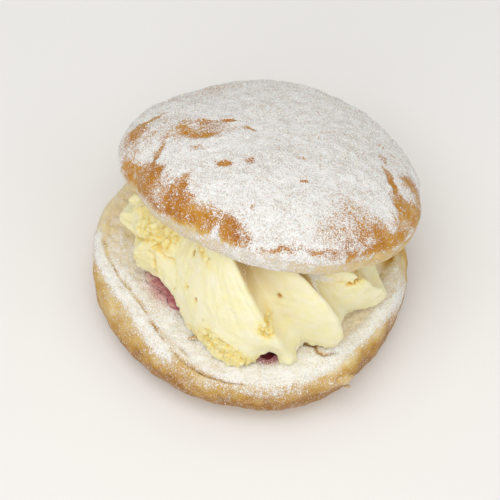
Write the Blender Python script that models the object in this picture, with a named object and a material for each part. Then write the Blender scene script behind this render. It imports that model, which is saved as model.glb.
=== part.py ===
"""A jam and cream doughnut: a fried round bun, split across, filled with jam and piped cream.

The open front of the bun faces -Y, and the two halves meet at the back, at +Y. Azimuths run round
the bun from its front towards +X. Each shape is a closed skin of rings, from a bottom pole to a top
pole, and its points are worked out from the sizes below.
"""

import math
from collections import namedtuple

import bmesh
import bpy
from mathutils import Euler, Vector, noise

MM = 0.001
GAP = 0.3 * MM  # air kept between two pieces that touch

# The lower half, whose underside is rounded round a flat spot.
BASE_CENTRE = Vector((0.1 * MM, -4.35 * MM, 0.0))
BASE_RADIUS = 49.0 * MM
BASE_FOOT = 27.0 * MM
BASE_RIM_HEIGHT = 9.5 * MM
BASE_HEIGHT = 19.0 * MM
BASE_DISH = 2.4 * MM
CREASE_DEPTH = 1.3 * MM
CREASE_FADE = math.radians(75)
CUT_SHARE = 0.945
CUT_WANDER = 0.155
CUT_WANDER_WIDTH = math.radians(29)
CUT_WANDER_AZIMUTH = math.radians(-39)

# The upper half, tipped back over the cream about the back edge of the lower half.
LID_CENTRE = BASE_CENTRE + Vector((3.4 * MM, 9.8 * MM, 38.4 * MM))
LID_TILT = math.radians(26)
LID_RADIUS = 45.3 * MM
LID_HEIGHT = 25.0 * MM
LID_RIM_HEIGHT = 7.5 * MM
LID_CUT_SHARE = 0.9

# How far each half is from round: a wave with this many crests, this share high, widest here.
Wave = namedtuple("Wave", "crests share widest")
BASE_WAVES = (
    Wave(2, 0.026, math.radians(64)),
    Wave(3, 0.015, math.radians(21)),
    Wave(4, 0.010, math.radians(42)),
)
LID_WAVES = (
    Wave(2, 0.028, math.radians(31)),
    Wave(3, 0.036, math.radians(59)),
    Wave(4, 0.015, math.radians(13)),
)

# Places where the rim comes in by this depth, or out where the depth is below 0.
Dent = namedtuple("Dent", "azimuth width depth")
BASE_DENTS = (
    Dent(math.radians(-108), math.radians(15), 2.3 * MM),
    Dent(math.radians(18), math.radians(9), 0.7 * MM),
    Dent(math.radians(98), math.radians(18), -0.7 * MM),
)
LID_DENTS = (
    Dent(math.radians(72), math.radians(20), -0.9 * MM),
    Dent(math.radians(-78), math.radians(16), -0.5 * MM),
    Dent(math.radians(-140), math.radians(20), 0.6 * MM),
)

# Folds in the crust of the upper half, each a valley that runs down from its top.
Fold = namedtuple("Fold", "azimuth width depth")
LID_FOLDS = (
    Fold(math.radians(-50), math.radians(9), 2.2 * MM),
    Fold(math.radians(-5), math.radians(5), 0.7 * MM),
    Fold(math.radians(98), math.radians(7), 0.9 * MM),
    Fold(math.radians(168), math.radians(10), 1.2 * MM),
)
SWELL_SIZE = 24.0 * MM
SWELL_HEIGHT = 0.9 * MM

# The flap of crust that has torn loose at the front right of the lower half.
FLAP_AZIMUTH = math.radians(53)
FLAP_WIDTH = math.radians(5.5)
FLAP_REACH = 2.6 * MM

# The jam, a shallow pool that comes out from under the cream on the left and at the front.
JAM_RADIUS = 24.5 * MM
JAM_THICKNESS = 2.2 * MM
JAM_EDGE = 3.0 * MM
Spill = namedtuple("Spill", "azimuth width reach")
JAM_SPILLS = (
    Spill(math.radians(-52), math.radians(13), 9.0 * MM),
    Spill(math.radians(-28), math.radians(11), 6.5 * MM),
    Spill(math.radians(29), math.radians(9), 14.5 * MM),
)
JAM_CLEARANCE = 2.6 * MM
JAM_CLEARANCE_TURN = math.radians(4.5)

# The cream, piped as ribbons that lean over. A ridge starts under the upper half and comes down
# to a torn tip on the lower one, and a hollow follows it.
Ridge = namedtuple("Ridge", "foot lid bend reach belly hollow share")
RIDGES = (
    Ridge(math.radians(-80), math.radians(-62), 1.7, 35.5 * MM, 5.2 * MM, 2.5 * MM, 0.45),
    Ridge(math.radians(-56), math.radians(-46), 1.7, 33.8 * MM, 2.5 * MM, 7.2 * MM, 0.20),
    Ridge(math.radians(37.5), math.radians(10), 1.7, 42.2 * MM, 2.0 * MM, 5.8 * MM, 0.50),
    Ridge(math.radians(57), math.radians(44), 3.2, 42.2 * MM, 4.5 * MM, 6.2 * MM, 0.50),
    Ridge(math.radians(88), math.radians(65), 1.3, 43.8 * MM, 1.5 * MM, 5.0 * MM, 0.50),
    Ridge(math.radians(120), math.radians(110), 1.5, 39.0 * MM, 2.5 * MM, 4.0 * MM, 0.45),
    Ridge(math.radians(150), math.radians(143), 1.5, 35.0 * MM, 2.5 * MM, 3.5 * MM, 0.45),
    Ridge(math.radians(182), math.radians(178), 1.5, 33.0 * MM, 2.0 * MM, 3.0 * MM, 0.45),
    Ridge(math.radians(212), math.radians(214), 1.5, 32.0 * MM, 2.0 * MM, 3.0 * MM, 0.45),
    Ridge(math.radians(244), math.radians(252), 1.5, 33.0 * MM, 1.5 * MM, 3.0 * MM, 0.45),
)
HOLLOW_LEAN = 0.24
CREAM_LID_INSET = 0.5 * MM
CREAM_BACK = 32.0 * MM
FOOT_DENTS = (
    Dent(math.radians(29), math.radians(8.5), 4.8 * MM),
    Dent(math.radians(14), math.radians(11), -1.4 * MM),
)
FOOT_DENT_RISE = 0.4
TOP_DENTS = (Dent(math.radians(-88), math.radians(14), 9.0 * MM),)
PINCH_AZIMUTH = math.radians(-64)
PINCH_WIDTH = math.radians(17)
PINCH_DEPTH = 2.2 * MM
PINCH_RISE = 0.42
PINCH_CLIMB = 0.7
PINCH_SPREAD = 0.09

# How finely each skin is divided.
BASE_TURNS = 72
LID_TURNS = 76
JAM_TURNS = 60
RIBBON_COLUMN = math.radians(4.4)
CREAM_ROWS = 15


def smooth(value):
    """0 below 0, 1 above 1, and an even curve between."""
    held = max(0.0, min(1.0, value))
    return held * held * (3 - 2 * held)


def mix(first, second, share):
    return first + (second - first) * share


def turned(azimuth):
    """The same azimuth, from minus half a turn to half a turn."""
    return (azimuth + math.pi) % math.tau - math.pi


def hump(azimuth, middle, width):
    """1 at the middle azimuth, and fading to 0 on both sides of it."""
    return math.exp(-((turned(azimuth - middle) / width) ** 2))


def outline(azimuth, waves):
    return 1 + sum(w.share * math.cos(w.crests * (azimuth - w.widest)) for w in waves)


def dented(azimuth, dents):
    return sum(d.depth * hump(azimuth, d.azimuth, d.width) for d in dents)


def around(centre, radius, azimuth, height):
    return centre + Vector(
        (radius * math.sin(azimuth), -radius * math.cos(azimuth), height)
    )


# ---------------------------------------------------------------- the lower half


def base_radius(azimuth):
    return BASE_RADIUS * outline(azimuth, BASE_WAVES) - dented(azimuth, BASE_DENTS)


def cut_share(azimuth):
    """The share of the radius at which the crust ends and the cut crumb begins."""
    return CUT_SHARE - CUT_WANDER * hump(azimuth, CUT_WANDER_AZIMUTH, CUT_WANDER_WIDTH)


def crumb_height(x, y):
    """The height of the cut face of the lower half, at a place measured from its centre."""
    azimuth = math.atan2(x, -y)
    share = math.hypot(x, y) / base_radius(azimuth)
    return BASE_HEIGHT - BASE_DISH * smooth(1.15 - share / cut_share(azimuth))


def shoulder(azimuth, share):
    """A point on the rounded crust, from the rim at share 0 to the cut edge at share 1."""
    radius = base_radius(azimuth)
    angle = share * math.pi / 2
    inward = radius * (1 - cut_share(azimuth))
    height = mix(BASE_RIM_HEIGHT, BASE_HEIGHT, math.sin(angle) ** 0.9)
    reach = radius - inward * (1 - math.cos(angle)) ** 1.25
    flap = FLAP_REACH * hump(azimuth, FLAP_AZIMUTH, FLAP_WIDTH) * math.sin(share * math.pi) ** 2
    return around(BASE_CENTRE, reach + flap, azimuth, height)


def underside(azimuth, share):
    """A point under the bun, from the edge of its flat spot at share 0 to the rim at share 1."""
    angle = share * math.pi / 2
    reach = mix(BASE_FOOT, base_radius(azimuth), math.sin(angle))
    return around(BASE_CENTRE, reach, azimuth, BASE_RIM_HEIGHT * (1 - math.cos(angle)))


def crumb(azimuth, share):
    """A point on the cut face, from its edge at share 0 to its middle at share 1."""
    reach = base_radius(azimuth) * cut_share(azimuth) * (1 - share)
    x = reach * math.sin(azimuth)
    y = -reach * math.cos(azimuth)
    return BASE_CENTRE + Vector((x, y, crumb_height(x, y)))


def crease(azimuth):
    """A point at the bottom of the groove between the crust and the cut face."""
    depth = CREASE_DEPTH * (0.3 + 0.7 * hump(azimuth, CUT_WANDER_AZIMUTH, CREASE_FADE))
    return crumb(azimuth, 0) - Vector((0, 0, depth))


def base_rings():
    rings = [[around(BASE_CENTRE, BASE_FOOT / 2, a, 0) for a in turns(BASE_TURNS)]]
    for step in range(7):
        rings.append([underside(a, step / 6.5) for a in turns(BASE_TURNS)])
    for step in range(7):
        rings.append([shoulder(a, step / 6.4) for a in turns(BASE_TURNS)])
    rings.append([crease(a) for a in turns(BASE_TURNS)])
    for share in (0.035, 0.12, 0.26, 0.42, 0.6, 0.8):
        rings.append([crumb(a, share) for a in turns(BASE_TURNS)])
    return rings


# ---------------------------------------------------------------- the upper half


def lid_radius(azimuth):
    return LID_RADIUS * outline(azimuth, LID_WAVES) - dented(azimuth, LID_DENTS)


def fold_depth(azimuth, share):
    """How far the folds pull the crust in, at this share of the way from the top to the rim."""
    depth = sum(f.depth * hump(azimuth, f.azimuth, f.width) for f in LID_FOLDS)
    return depth * smooth((share - 0.3) / 0.5)


def dome(azimuth, share):
    """A point on the domed crust, from the top at share 0 to the rim at share 1."""
    angle = (1 - share) * math.pi / 2
    reach = lid_radius(azimuth) * math.cos(angle) ** 0.85
    height = mix(LID_RIM_HEIGHT, LID_HEIGHT, math.sin(angle))
    point = around(Vector(), reach - fold_depth(azimuth, share), azimuth, height)
    swell = noise.noise(point / SWELL_SIZE)
    return point * (1 + swell * SWELL_HEIGHT / point.length)


def band(azimuth, share):
    """A point on the pale band under the rim, from the rim at share 0 to the cut at share 1."""
    angle = share * math.pi / 2
    radius = lid_radius(azimuth)
    taper = radius * (1 - LID_CUT_SHARE) * (1 - math.cos(angle))
    reach = radius - taper - fold_depth(azimuth, 1) * (1 - 0.5 * share)
    point = around(Vector(), reach, azimuth, LID_RIM_HEIGHT * (1 - math.sin(angle)))
    swell = noise.noise(point / SWELL_SIZE) * SWELL_HEIGHT * (1 - share)
    return point * (1 + swell / point.length)


def lid_cut_radius(azimuth):
    """The radius of the flat cut face of the upper half, in its own plane."""
    return band(azimuth, 1).length


def lid_rings():
    rings = []
    for share in (0.3, 0.6, 0.85):
        rings.append([band(a, 1) * share for a in turns(LID_TURNS)])
    for step in range(5, 0, -1):
        rings.append([band(a, step / 5) for a in turns(LID_TURNS)])
    for step in range(11, 0, -1):
        rings.append([dome(a, step / 11) for a in turns(LID_TURNS)])
    return rings


# ---------------------------------------------------------------- the jam


def jam_radius(azimuth, widened=0.0):
    spills = (s.reach * hump(azimuth, s.azimuth, s.width + widened) for s in JAM_SPILLS)
    return JAM_RADIUS + sum(spills)


def jam_depth(x, y):
    """The thickness of the jam here, and 0 outside its edge."""
    inside = jam_radius(math.atan2(x, -y)) - math.hypot(x, y)
    return JAM_THICKNESS * smooth(inside / JAM_EDGE)


def jam_point(azimuth, reach, top):
    x = reach * math.sin(azimuth)
    y = -reach * math.cos(azimuth)
    height = crumb_height(x, y) + GAP
    if top:
        height += jam_depth(x, y)
    return BASE_CENTRE + Vector((x, y, height))


def jam_rings():
    rings = []
    for share in (0.3, 0.65, 0.98):
        rings.append([jam_point(a, jam_radius(a) * share, False) for a in turns(JAM_TURNS)])
    for inset in (0.6 * MM, 1.4 * MM, JAM_EDGE):
        rings.append([jam_point(a, jam_radius(a) - inset, True) for a in turns(JAM_TURNS)])
    for share in (0.6, 0.3):
        rings.append([jam_point(a, jam_radius(a) * share, True) for a in turns(JAM_TURNS)])
    return rings


# ---------------------------------------------------------------- the cream


def lid_plane_height(x, y):
    """The height of the upper half's cut face over a place measured from the lower half's centre."""
    offset = LID_CENTRE - BASE_CENTRE
    return offset.z - (y - offset.y) * math.tan(LID_TILT)


def lid_edge_reach(azimuth):
    """How far out the edge of the upper half's cut face lies, seen from above."""
    offset = LID_CENTRE - BASE_CENTRE
    reach = 0.75 * LID_RADIUS
    for _ in range(12):
        x = reach * math.sin(azimuth) - offset.x
        y = (-reach * math.cos(azimuth) - offset.y) / math.cos(LID_TILT)
        excess = lid_cut_radius(math.atan2(x, -y)) - math.hypot(x, y)
        reach += 0.8 * excess
    return reach


def ribbon(share, lowest):
    """The height of a ribbon's face between two ridges: 1 on them, 0 in the hollow between."""
    if share < lowest:
        return (1 - share / lowest) ** 1.6
    return smooth((share - lowest) / (1 - lowest)) ** 0.8


def ridge_pair(index):
    """A ridge and the one after it, whose azimuths are a turn on where the ring closes."""
    ridge = RIDGES[index]
    after = RIDGES[(index + 1) % len(RIDGES)]
    if index + 1 == len(RIDGES):
        after = after._replace(foot=after.foot + math.tau, lid=after.lid + math.tau)
    return ridge, after


def cream_azimuth(index, share, rise):
    """The azimuth of a place between two ridges, at this rise from the lower half to the upper."""
    ridge, after = ridge_pair(index)
    here = mix(ridge.foot, ridge.lid, rise**ridge.bend)
    there = mix(after.foot, after.lid, rise**after.bend)
    return mix(here, there, share)


def cream_reach(index, share, rise):
    """How far out the cream comes there."""
    ridge, after = ridge_pair(index)
    azimuth = cream_azimuth(index, share, rise)
    foot = mix(ridge.reach, after.reach, smooth(share))
    lean = mix(ridge.share, min(ridge.share, HOLLOW_LEAN), smooth(rise * 1.8))
    hollow = ridge.hollow * (1 - ribbon(share, lean))
    belly = mix(ridge.belly, after.belly, smooth(share)) * math.sin(math.pi * rise)
    under_lid = lid_edge_reach(azimuth) - CREAM_LID_INSET
    top = min(under_lid, CREAM_BACK + BASE_RADIUS * smooth(math.cos(azimuth) + 0.7))
    top -= dented(azimuth, TOP_DENTS)
    dent = dented(azimuth, FOOT_DENTS) * (1 - smooth(rise / FOOT_DENT_RISE))
    pinch_rise = PINCH_RISE + PINCH_CLIMB * turned(azimuth - PINCH_AZIMUTH)
    pinch = PINCH_DEPTH * hump(azimuth, PINCH_AZIMUTH, PINCH_WIDTH)
    pinch *= math.exp(-(((rise - pinch_rise) / PINCH_SPREAD) ** 2))
    return mix(foot, top, rise**1.5) + belly - hollow - dent - pinch


def cream_floor(x, y):
    """The height of the cream's underside, which lies on the jam and the cut face."""
    azimuth = math.atan2(x, -y)
    inside = jam_radius(azimuth, JAM_CLEARANCE_TURN) + JAM_CLEARANCE - math.hypot(x, y)
    cover = (JAM_THICKNESS + GAP) * smooth(inside / JAM_EDGE)
    return crumb_height(x, y) + GAP * 1.3 + cover


def cream_roof(x, y):
    """The height of the cream's top, which is pressed flat by the upper half."""
    return lid_plane_height(x, y) - GAP * 1.5


def across(azimuth, reach):
    return reach * math.sin(azimuth), -reach * math.cos(azimuth)


def cream_wall(index, share, rise):
    """A point on the side of the cream."""
    low = across(cream_azimuth(index, share, 0), cream_reach(index, share, 0))
    high = across(cream_azimuth(index, share, 1), cream_reach(index, share, 1))
    height = mix(cream_floor(*low), cream_roof(*high), rise)
    return around(BASE_CENTRE, cream_reach(index, share, rise), cream_azimuth(index, share, rise), height)


def cream_inside(index, share, rise, inward, surface):
    """A point on the cream's underside or top, this share of the way out to its side."""
    azimuth = cream_azimuth(index, share, rise)
    x, y = across(azimuth, cream_reach(index, share, rise) * inward)
    return BASE_CENTRE + Vector((x, y, surface(x, y)))


def cream_columns():
    """The places round the cream, each a ridge number and a share of the way to the next."""
    columns = []
    for index in range(len(RIDGES)):
        ridge, after = ridge_pair(index)
        count = max(7, round((after.foot - ridge.foot) / RIBBON_COLUMN))
        columns += [(index, step / count) for step in range(count)]
    return columns


def cream_rings():
    columns = cream_columns()
    rings = []
    for inward in (0.3, 0.5, 0.62, 0.72, 0.81, 0.89, 0.95):
        rings.append([cream_inside(i, s, 0, inward, cream_floor) for i, s in columns])
    for row in range(CREAM_ROWS):
        rings.append([cream_wall(i, s, row / (CREAM_ROWS - 1)) for i, s in columns])
    for inward in (0.8, 0.4):
        rings.append([cream_inside(i, s, 1, inward, cream_roof) for i, s in columns])
    return rings


# ---------------------------------------------------------------- meshes and materials


def turns(count):
    return [math.tau * step / count for step in range(count)]


def middle(ring):
    return sum(ring, Vector()) / len(ring)


def skin(name, rings, material, bottom=None, top=None):
    """A closed object through these rings, from the lowest inner one to the highest inner one."""
    shape = bmesh.new()
    rows = [[shape.verts.new(point) for point in ring] for ring in rings]
    low = shape.verts.new(bottom or middle(rings[0]))
    high = shape.verts.new(top or middle(rings[-1]))
    count = len(rows[0])
    for step in range(count):
        after = (step + 1) % count
        shape.faces.new((low, rows[0][after], rows[0][step]))
        shape.faces.new((high, rows[-1][step], rows[-1][after]))
        for under, over in zip(rows, rows[1:]):
            shape.faces.new((under[step], under[after], over[after], over[step]))
    mesh = bpy.data.meshes.new(name)
    shape.to_mesh(mesh)
    shape.free()
    mesh.shade_smooth()
    mesh.materials.append(material)
    made = bpy.data.objects.new(name, mesh)
    bpy.context.scene.collection.objects.link(made)
    return made


def finish(name, colour, roughness):
    material = bpy.data.materials.new(name)
    material.use_nodes = True
    shader = material.node_tree.nodes["Principled BSDF"]
    shader.inputs["Base Color"].default_value = (*colour, 1)
    shader.inputs["Roughness"].default_value = roughness
    shader.inputs["Metallic"].default_value = 0.0
    return material


def clear_scene():
    for thing in list(bpy.data.objects):
        bpy.data.objects.remove(thing)


def main():
    clear_scene()
    crust = finish("fried_crust", (0.55, 0.27, 0.07), 0.5)
    crumb_finish = finish("pale_crumb", (0.80, 0.66, 0.42), 0.8)
    whipped = finish("whipped_cream", (0.88, 0.80, 0.52), 0.45)
    red = finish("raspberry_jam", (0.30, 0.02, 0.04), 0.15)
    skin("bun_base", base_rings(), crumb_finish, bottom=BASE_CENTRE.copy())
    lid = skin("bun_lid", lid_rings(), crust, top=Vector((0, 0, LID_HEIGHT)))
    lid.location = LID_CENTRE
    lid.rotation_euler = Euler((-LID_TILT, 0, 0))
    skin("jam_layer", jam_rings(), red)
    skin("cream_filling", cream_rings(), whipped)


main()
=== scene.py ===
# %% [markdown]
# # A jam and cream doughnut
# A round bun is fried, split, filled with jam and piped cream, and dusted with icing sugar.
# This file dresses the plain solids of that doughnut. Each section makes one piece: first its
# shape, as rings of points on a fine grid, and then its finish, out of shader nodes.

# %% Load the plain solids
import math
from collections import namedtuple

import bpy
import numpy as np
from mathutils import Matrix, Vector, noise


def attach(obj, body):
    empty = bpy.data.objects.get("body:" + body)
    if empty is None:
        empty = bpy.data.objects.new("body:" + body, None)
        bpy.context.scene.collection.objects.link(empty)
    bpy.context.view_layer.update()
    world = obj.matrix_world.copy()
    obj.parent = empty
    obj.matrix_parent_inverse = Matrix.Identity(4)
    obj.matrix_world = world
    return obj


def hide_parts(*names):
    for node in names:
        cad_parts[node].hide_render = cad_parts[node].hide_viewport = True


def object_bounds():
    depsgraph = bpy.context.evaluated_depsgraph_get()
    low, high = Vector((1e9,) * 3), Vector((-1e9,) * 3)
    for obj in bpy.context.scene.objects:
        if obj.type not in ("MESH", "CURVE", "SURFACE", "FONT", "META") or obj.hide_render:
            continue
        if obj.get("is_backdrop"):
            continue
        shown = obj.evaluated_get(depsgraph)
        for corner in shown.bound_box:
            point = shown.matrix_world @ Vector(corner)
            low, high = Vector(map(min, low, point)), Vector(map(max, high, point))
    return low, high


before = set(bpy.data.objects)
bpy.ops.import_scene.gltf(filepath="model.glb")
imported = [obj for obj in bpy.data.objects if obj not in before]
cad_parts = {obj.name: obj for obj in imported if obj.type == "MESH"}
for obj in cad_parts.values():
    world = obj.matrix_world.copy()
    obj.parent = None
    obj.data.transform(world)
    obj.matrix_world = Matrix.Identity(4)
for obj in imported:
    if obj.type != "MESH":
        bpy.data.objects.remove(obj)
solid_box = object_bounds()
print("the solids fill", [[round(c * 1000, 1) for c in corner] for corner in solid_box], "mm")

# %% [markdown]
# All lengths below are millimetres, and they become metres when a mesh is made. The points are
# held in numpy arrays, because one sum then works on every point of a piece at once.

# %% Small sums on whole arrays
MM = 0.001


def smooth(value):
    """0 below 0, 1 above 1, and an even curve between."""
    held = np.clip(value, 0, 1)
    return held * held * (3 - 2 * held)


def mix(first, second, share):
    """The first value at share 0, the second at share 1, and even steps between."""
    return first + (second - first) * share


def turned(azimuth):
    """The same azimuth, from minus half a turn to half a turn."""
    return (azimuth + math.pi) % math.tau - math.pi


def bell(value):
    """1 at 0, and fading to 0 on both sides of it."""
    return np.exp(-(value**2))


def hump(azimuth, middle, width):
    """1 at the middle azimuth, and fading to 0 beside it. Middle and width are in degrees."""
    return bell(turned(azimuth - math.radians(middle)) / math.radians(width))


def triple(x, y, z):
    """Points from their three coordinates."""
    return np.stack(np.broadcast_arrays(x, y, z), axis=-1).astype(float)


def around(radius, azimuth, height):
    """Points round the upright axis. Azimuth 0 is the front, and it grows towards +X."""
    return triple(radius * np.sin(azimuth), -radius * np.cos(azimuth), height)


def azimuth_of(points):
    """Which way round the upright axis the points lie."""
    return np.arctan2(points[..., 0], -points[..., 1])


def full_turn(count):
    """Azimuths all the way round, in one row."""
    return (np.arange(count) / count * math.tau)[None, :]


# %% [markdown]
# Dough, sugar and cream are never even. Blender's own noise works on one point at a time, which
# is slow on hundreds of thousands of points, so two kinds of noise are sums on whole arrays here.
# Drift is soft noise, like hills. Cells are scattered dots and the walls between them, like
# curds or pores. Every seed is fixed, so each run makes the same doughnut.

# %% Noise for lumps, curds and pores
dice = np.random.default_rng(11)
SHUFFLE = dice.permutation(256)
ARROWS = dice.normal(size=(256, 3))
ARROWS /= np.linalg.norm(ARROWS, axis=1, keepdims=True)
DOTS = dice.uniform(0.15, 0.85, size=(256, 3))


def lot(place):
    """A number from 0 to 255 for each cell of space, always the same for the same cell."""
    first = SHUFFLE[place[..., 0] & 255]
    second = SHUFFLE[(first + place[..., 1]) & 255]
    return SHUFFLE[(second + place[..., 2]) & 255]


def drift(points, size, seed=0):
    """Soft noise from about -1 to 1, in lumps of this size."""
    spot = points / size + seed * 17.31
    cell = np.floor(spot).astype(int)
    inside = spot - cell
    fade = inside**3 * (inside * (inside * 6 - 15) + 10)
    total = 0.0
    for corner in np.ndindex(2, 2, 2):
        weight = np.prod(np.where(corner, fade, 1 - fade), axis=-1)
        total = total + weight * np.sum(ARROWS[lot(cell + corner)] * (inside - corner), axis=-1)
    return total * 1.6


def sway(points, size, seed):
    """Three soft noises, as the x, y and z of a small push."""
    return np.stack([drift(points, size, seed + axis) for axis in range(3)], axis=-1)


def cells(points, size, seed=0):
    """How far it is to the nearest dot, and how much farther to the next, in cells of this size."""
    spot = points / size + seed * 9.17
    cell = np.floor(spot).astype(int)
    near = np.full(spot.shape[:-1], 9.0)
    far = near.copy()
    for step in np.ndindex(3, 3, 3):
        place = cell + step - 1
        gap = np.linalg.norm(spot - place - DOTS[lot(place)], axis=-1)
        far = np.minimum(far, np.maximum(near, gap))
        near = np.minimum(near, gap)
    return near, far - near


# %% [markdown]
# Every large piece is a closed skin of rings, from a pole at the bottom to a pole at the top. It
# could be sculpted instead, but rings keep the grid even, leave no holes, and tell each point its
# azimuth and its level. Marks are numbers kept on the points, such as how thick the sugar lies,
# and the finishes read them later.

# %% Skins made of rings
def outward(rings):
    """The direction that points out of the skin, at every point."""
    along = np.roll(rings, -1, axis=1) - np.roll(rings, 1, axis=1)
    normal = np.cross(along, np.gradient(rings, axis=0))
    return normal / np.maximum(np.linalg.norm(normal, axis=-1, keepdims=True), 1e-9)


def lift(rings, height):
    """The skin with each point moved out by this height."""
    return rings + outward(rings) * height[..., None]


def mesh_object(name, points, faces, marks):
    """A new object with a smooth mesh, and with its marks as numbers on the points."""
    mesh = bpy.data.meshes.new(name)
    mesh.from_pydata(points * MM, [], faces)
    for mark, values in marks.items():
        mesh.attributes.new(mark, "FLOAT", "POINT").data.foreach_set("value", values.astype(np.float32))
    mesh.shade_smooth()
    piece = bpy.data.objects.new(name, mesh)
    bpy.context.scene.collection.objects.link(piece)
    return piece


def ring_faces(rows, turns):
    """The walls between rings of points, and the fans that close them at the two poles."""
    grid = np.arange(rows * turns).reshape(rows, turns)
    after = np.roll(grid, -1, axis=1)
    walls = np.stack([grid[:-1], after[:-1], after[1:], grid[1:]], axis=-1).reshape(-1, 4)
    low, high = grid.size, grid.size + 1
    fans = [(low, b, a) for a, b in zip(grid[0].tolist(), after[0].tolist())]
    fans += [(high, a, b) for a, b in zip(grid[-1].tolist(), after[-1].tolist())]
    return walls, fans


def skin(name, rings, marks):
    """A closed object through these rings, which run from the bottom to the top."""
    walls, fans = ring_faces(*rings.shape[:2])
    faces = walls.tolist() + fans
    poles = [rings[0].mean(axis=0), rings[-1].mean(axis=0)]
    points = np.concatenate([rings.reshape(-1, 3), poles])
    flat = {}
    for mark, values in marks.items():
        values = np.broadcast_to(values, rings.shape[:2])
        flat[mark] = np.concatenate([values.ravel(), [values[0].mean(), values[-1].mean()]])
    made = mesh_object(name, points, faces, flat)
    print(name, len(faces), "faces")
    return made


# %% [markdown]
# Patches say where the sugar was knocked off the top. A patch has a middle, half a length, half
# a width and a turn in degrees, as seen from straight above, and a strength.

# %% Patches on a half of the bun
Patch = namedtuple("Patch", "x y length width turn strength")


def patch_sum(patches, points):
    """All patches together: each adds its strength inside, and nothing far outside."""
    total = np.zeros(points.shape[:-1])
    for patch in patches:
        x, y = points[..., 0] - patch.x, points[..., 1] - patch.y
        turn = math.radians(patch.turn)
        along = (x * math.cos(turn) + y * math.sin(turn)) / patch.length
        across = (y * math.cos(turn) - x * math.sin(turn)) / patch.width
        total += patch.strength * smooth(1.5 - np.hypot(along, across))
    return total


# %% [markdown]
# A spot is the same for a steep side: it has an azimuth in degrees, a height, and half a width
# and half a height. The side is taken as a wall at one distance from the middle.

# %% Spots on a steep side
Spot = namedtuple("Spot", "azimuth height wide tall strength")


def spot_sum(spots, azimuth, height, reach):
    """All spots together: each adds its strength inside, and nothing far outside."""
    total = 0.0
    for spot in spots:
        beside = turned(azimuth - math.radians(spot.azimuth)) * reach / spot.wide
        total = total + spot.strength * smooth(1.5 - np.hypot(beside, (height - spot.height) / spot.tall))
    return total


def line_distance(line, x, y):
    """How far points are from a line through these places."""
    nearest = np.full(x.shape, 99.0)
    for (start_x, start_y), (end_x, end_y) in zip(line, line[1:]):
        step_x, step_y = end_x - start_x, end_y - start_y
        along = ((x - start_x) * step_x + (y - start_y) * step_y) / (step_x**2 + step_y**2)
        along = np.clip(along, 0, 1)
        gap = np.hypot(x - start_x - along * step_x, y - start_y - along * step_y)
        nearest = np.minimum(nearest, gap)
    return nearest


# %% [markdown]
# ## The upper half of the bun
# Fried dough puffs into a low dome. A pale band stays round its waist, where the bun floated
# above the fat. The half is tipped back over the cream, and its cut side faces down. It could be
# sculpted from a sphere, but as a formula each wave and fold is a number that can be set. A dent
# with a depth below zero is a bulge.

# %% The sizes of the upper half
Wave = namedtuple("Wave", "crests share widest")
Dent = namedtuple("Dent", "azimuth width depth")
BASE_CENTRE = np.array([0.1, -4.35, 0.0])
BASE_PLACE = Matrix.Translation(BASE_CENTRE * MM)
LID_CENTRE = BASE_CENTRE + [3.4, 9.8, 38.4]
LID_TILT = math.radians(26)
LID_PLACE = Matrix.Translation(LID_CENTRE * MM) @ Matrix.Rotation(-LID_TILT, 4, "X")
LID_RADIUS = 45.3
LID_HEIGHT = 25.0
LID_RIM_HEIGHT = 7.5
LID_CUT_SHARE = 0.9
LID_WAVES = (Wave(2, 0.028, 31), Wave(3, 0.036, 59), Wave(4, 0.015, 13))
LID_DENTS = (Dent(72, 20, -0.9), Dent(-78, 16, -0.5), Dent(-140, 20, 0.6))
LID_FOLDS = (Dent(-50, 9, 2.2), Dent(-5, 5, 0.7), Dent(98, 7, 0.9), Dent(168, 10, 1.2))
SWELL_SIZE = 24.0
SWELL_HEIGHT = 0.9


def outline(azimuth, waves):
    """How much wider or narrower than a circle the outline is, from a few waves round it."""
    return 1 + sum(w.share * np.cos(w.crests * (azimuth - math.radians(w.widest))) for w in waves)


def dented(azimuth, dents):
    """How deep all these dents are together at this azimuth."""
    return sum(d.depth * hump(azimuth, d.azimuth, d.width) for d in dents)


def lid_radius(azimuth):
    """How far out the rim of the upper half is."""
    return LID_RADIUS * outline(azimuth, LID_WAVES) - dented(azimuth, LID_DENTS)


# %% [markdown]
# The dome and the band are two curves turned round the middle. Waves and folds change how far
# out they reach, and slow noise swells them, as gas swells dough.

# %% The dome and the band below its rim
def swollen(points, height):
    """The points pushed in and out by slow swells of the dough."""
    spots = (points / SWELL_SIZE).reshape(-1, 3).tolist()
    swell = np.array([noise.noise(spot) for spot in spots]).reshape(points.shape[:-1])
    length = np.linalg.norm(points, axis=-1)
    return points * (1 + swell * height / np.maximum(length, 1e-6))[..., None]


def dome(azimuth, share):
    """The domed crust, from its top at share 0 to its rim at share 1."""
    angle = (1 - share) * math.pi / 2
    reach = lid_radius(azimuth) * np.cos(angle) ** 0.85
    reach = reach - dented(azimuth, LID_FOLDS) * smooth((share - 0.3) / 0.5)
    height = mix(LID_RIM_HEIGHT, LID_HEIGHT, np.sin(angle))
    return swollen(around(reach, azimuth, height), SWELL_HEIGHT)


def band(azimuth, share):
    """The pale band under the rim, from the rim at share 0 to the cut edge at share 1."""
    angle = share * math.pi / 2
    radius = lid_radius(azimuth)
    reach = radius - radius * (1 - LID_CUT_SHARE) * (1 - np.cos(angle))
    reach = reach - dented(azimuth, LID_FOLDS) * (1 - 0.5 * share)
    points = around(reach, azimuth, LID_RIM_HEIGHT * (1 - np.sin(angle)))
    return swollen(points, SWELL_HEIGHT * (1 - share))


def lid_surface(azimuth, level):
    """The dome up to level 1, and the band from there to level 2."""
    upper = dome(azimuth, np.clip(level, 0, 1))
    lower = band(azimuth, np.clip(level - 1, 0, 1))
    return np.where((level > 1)[..., None], lower, upper)


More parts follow.
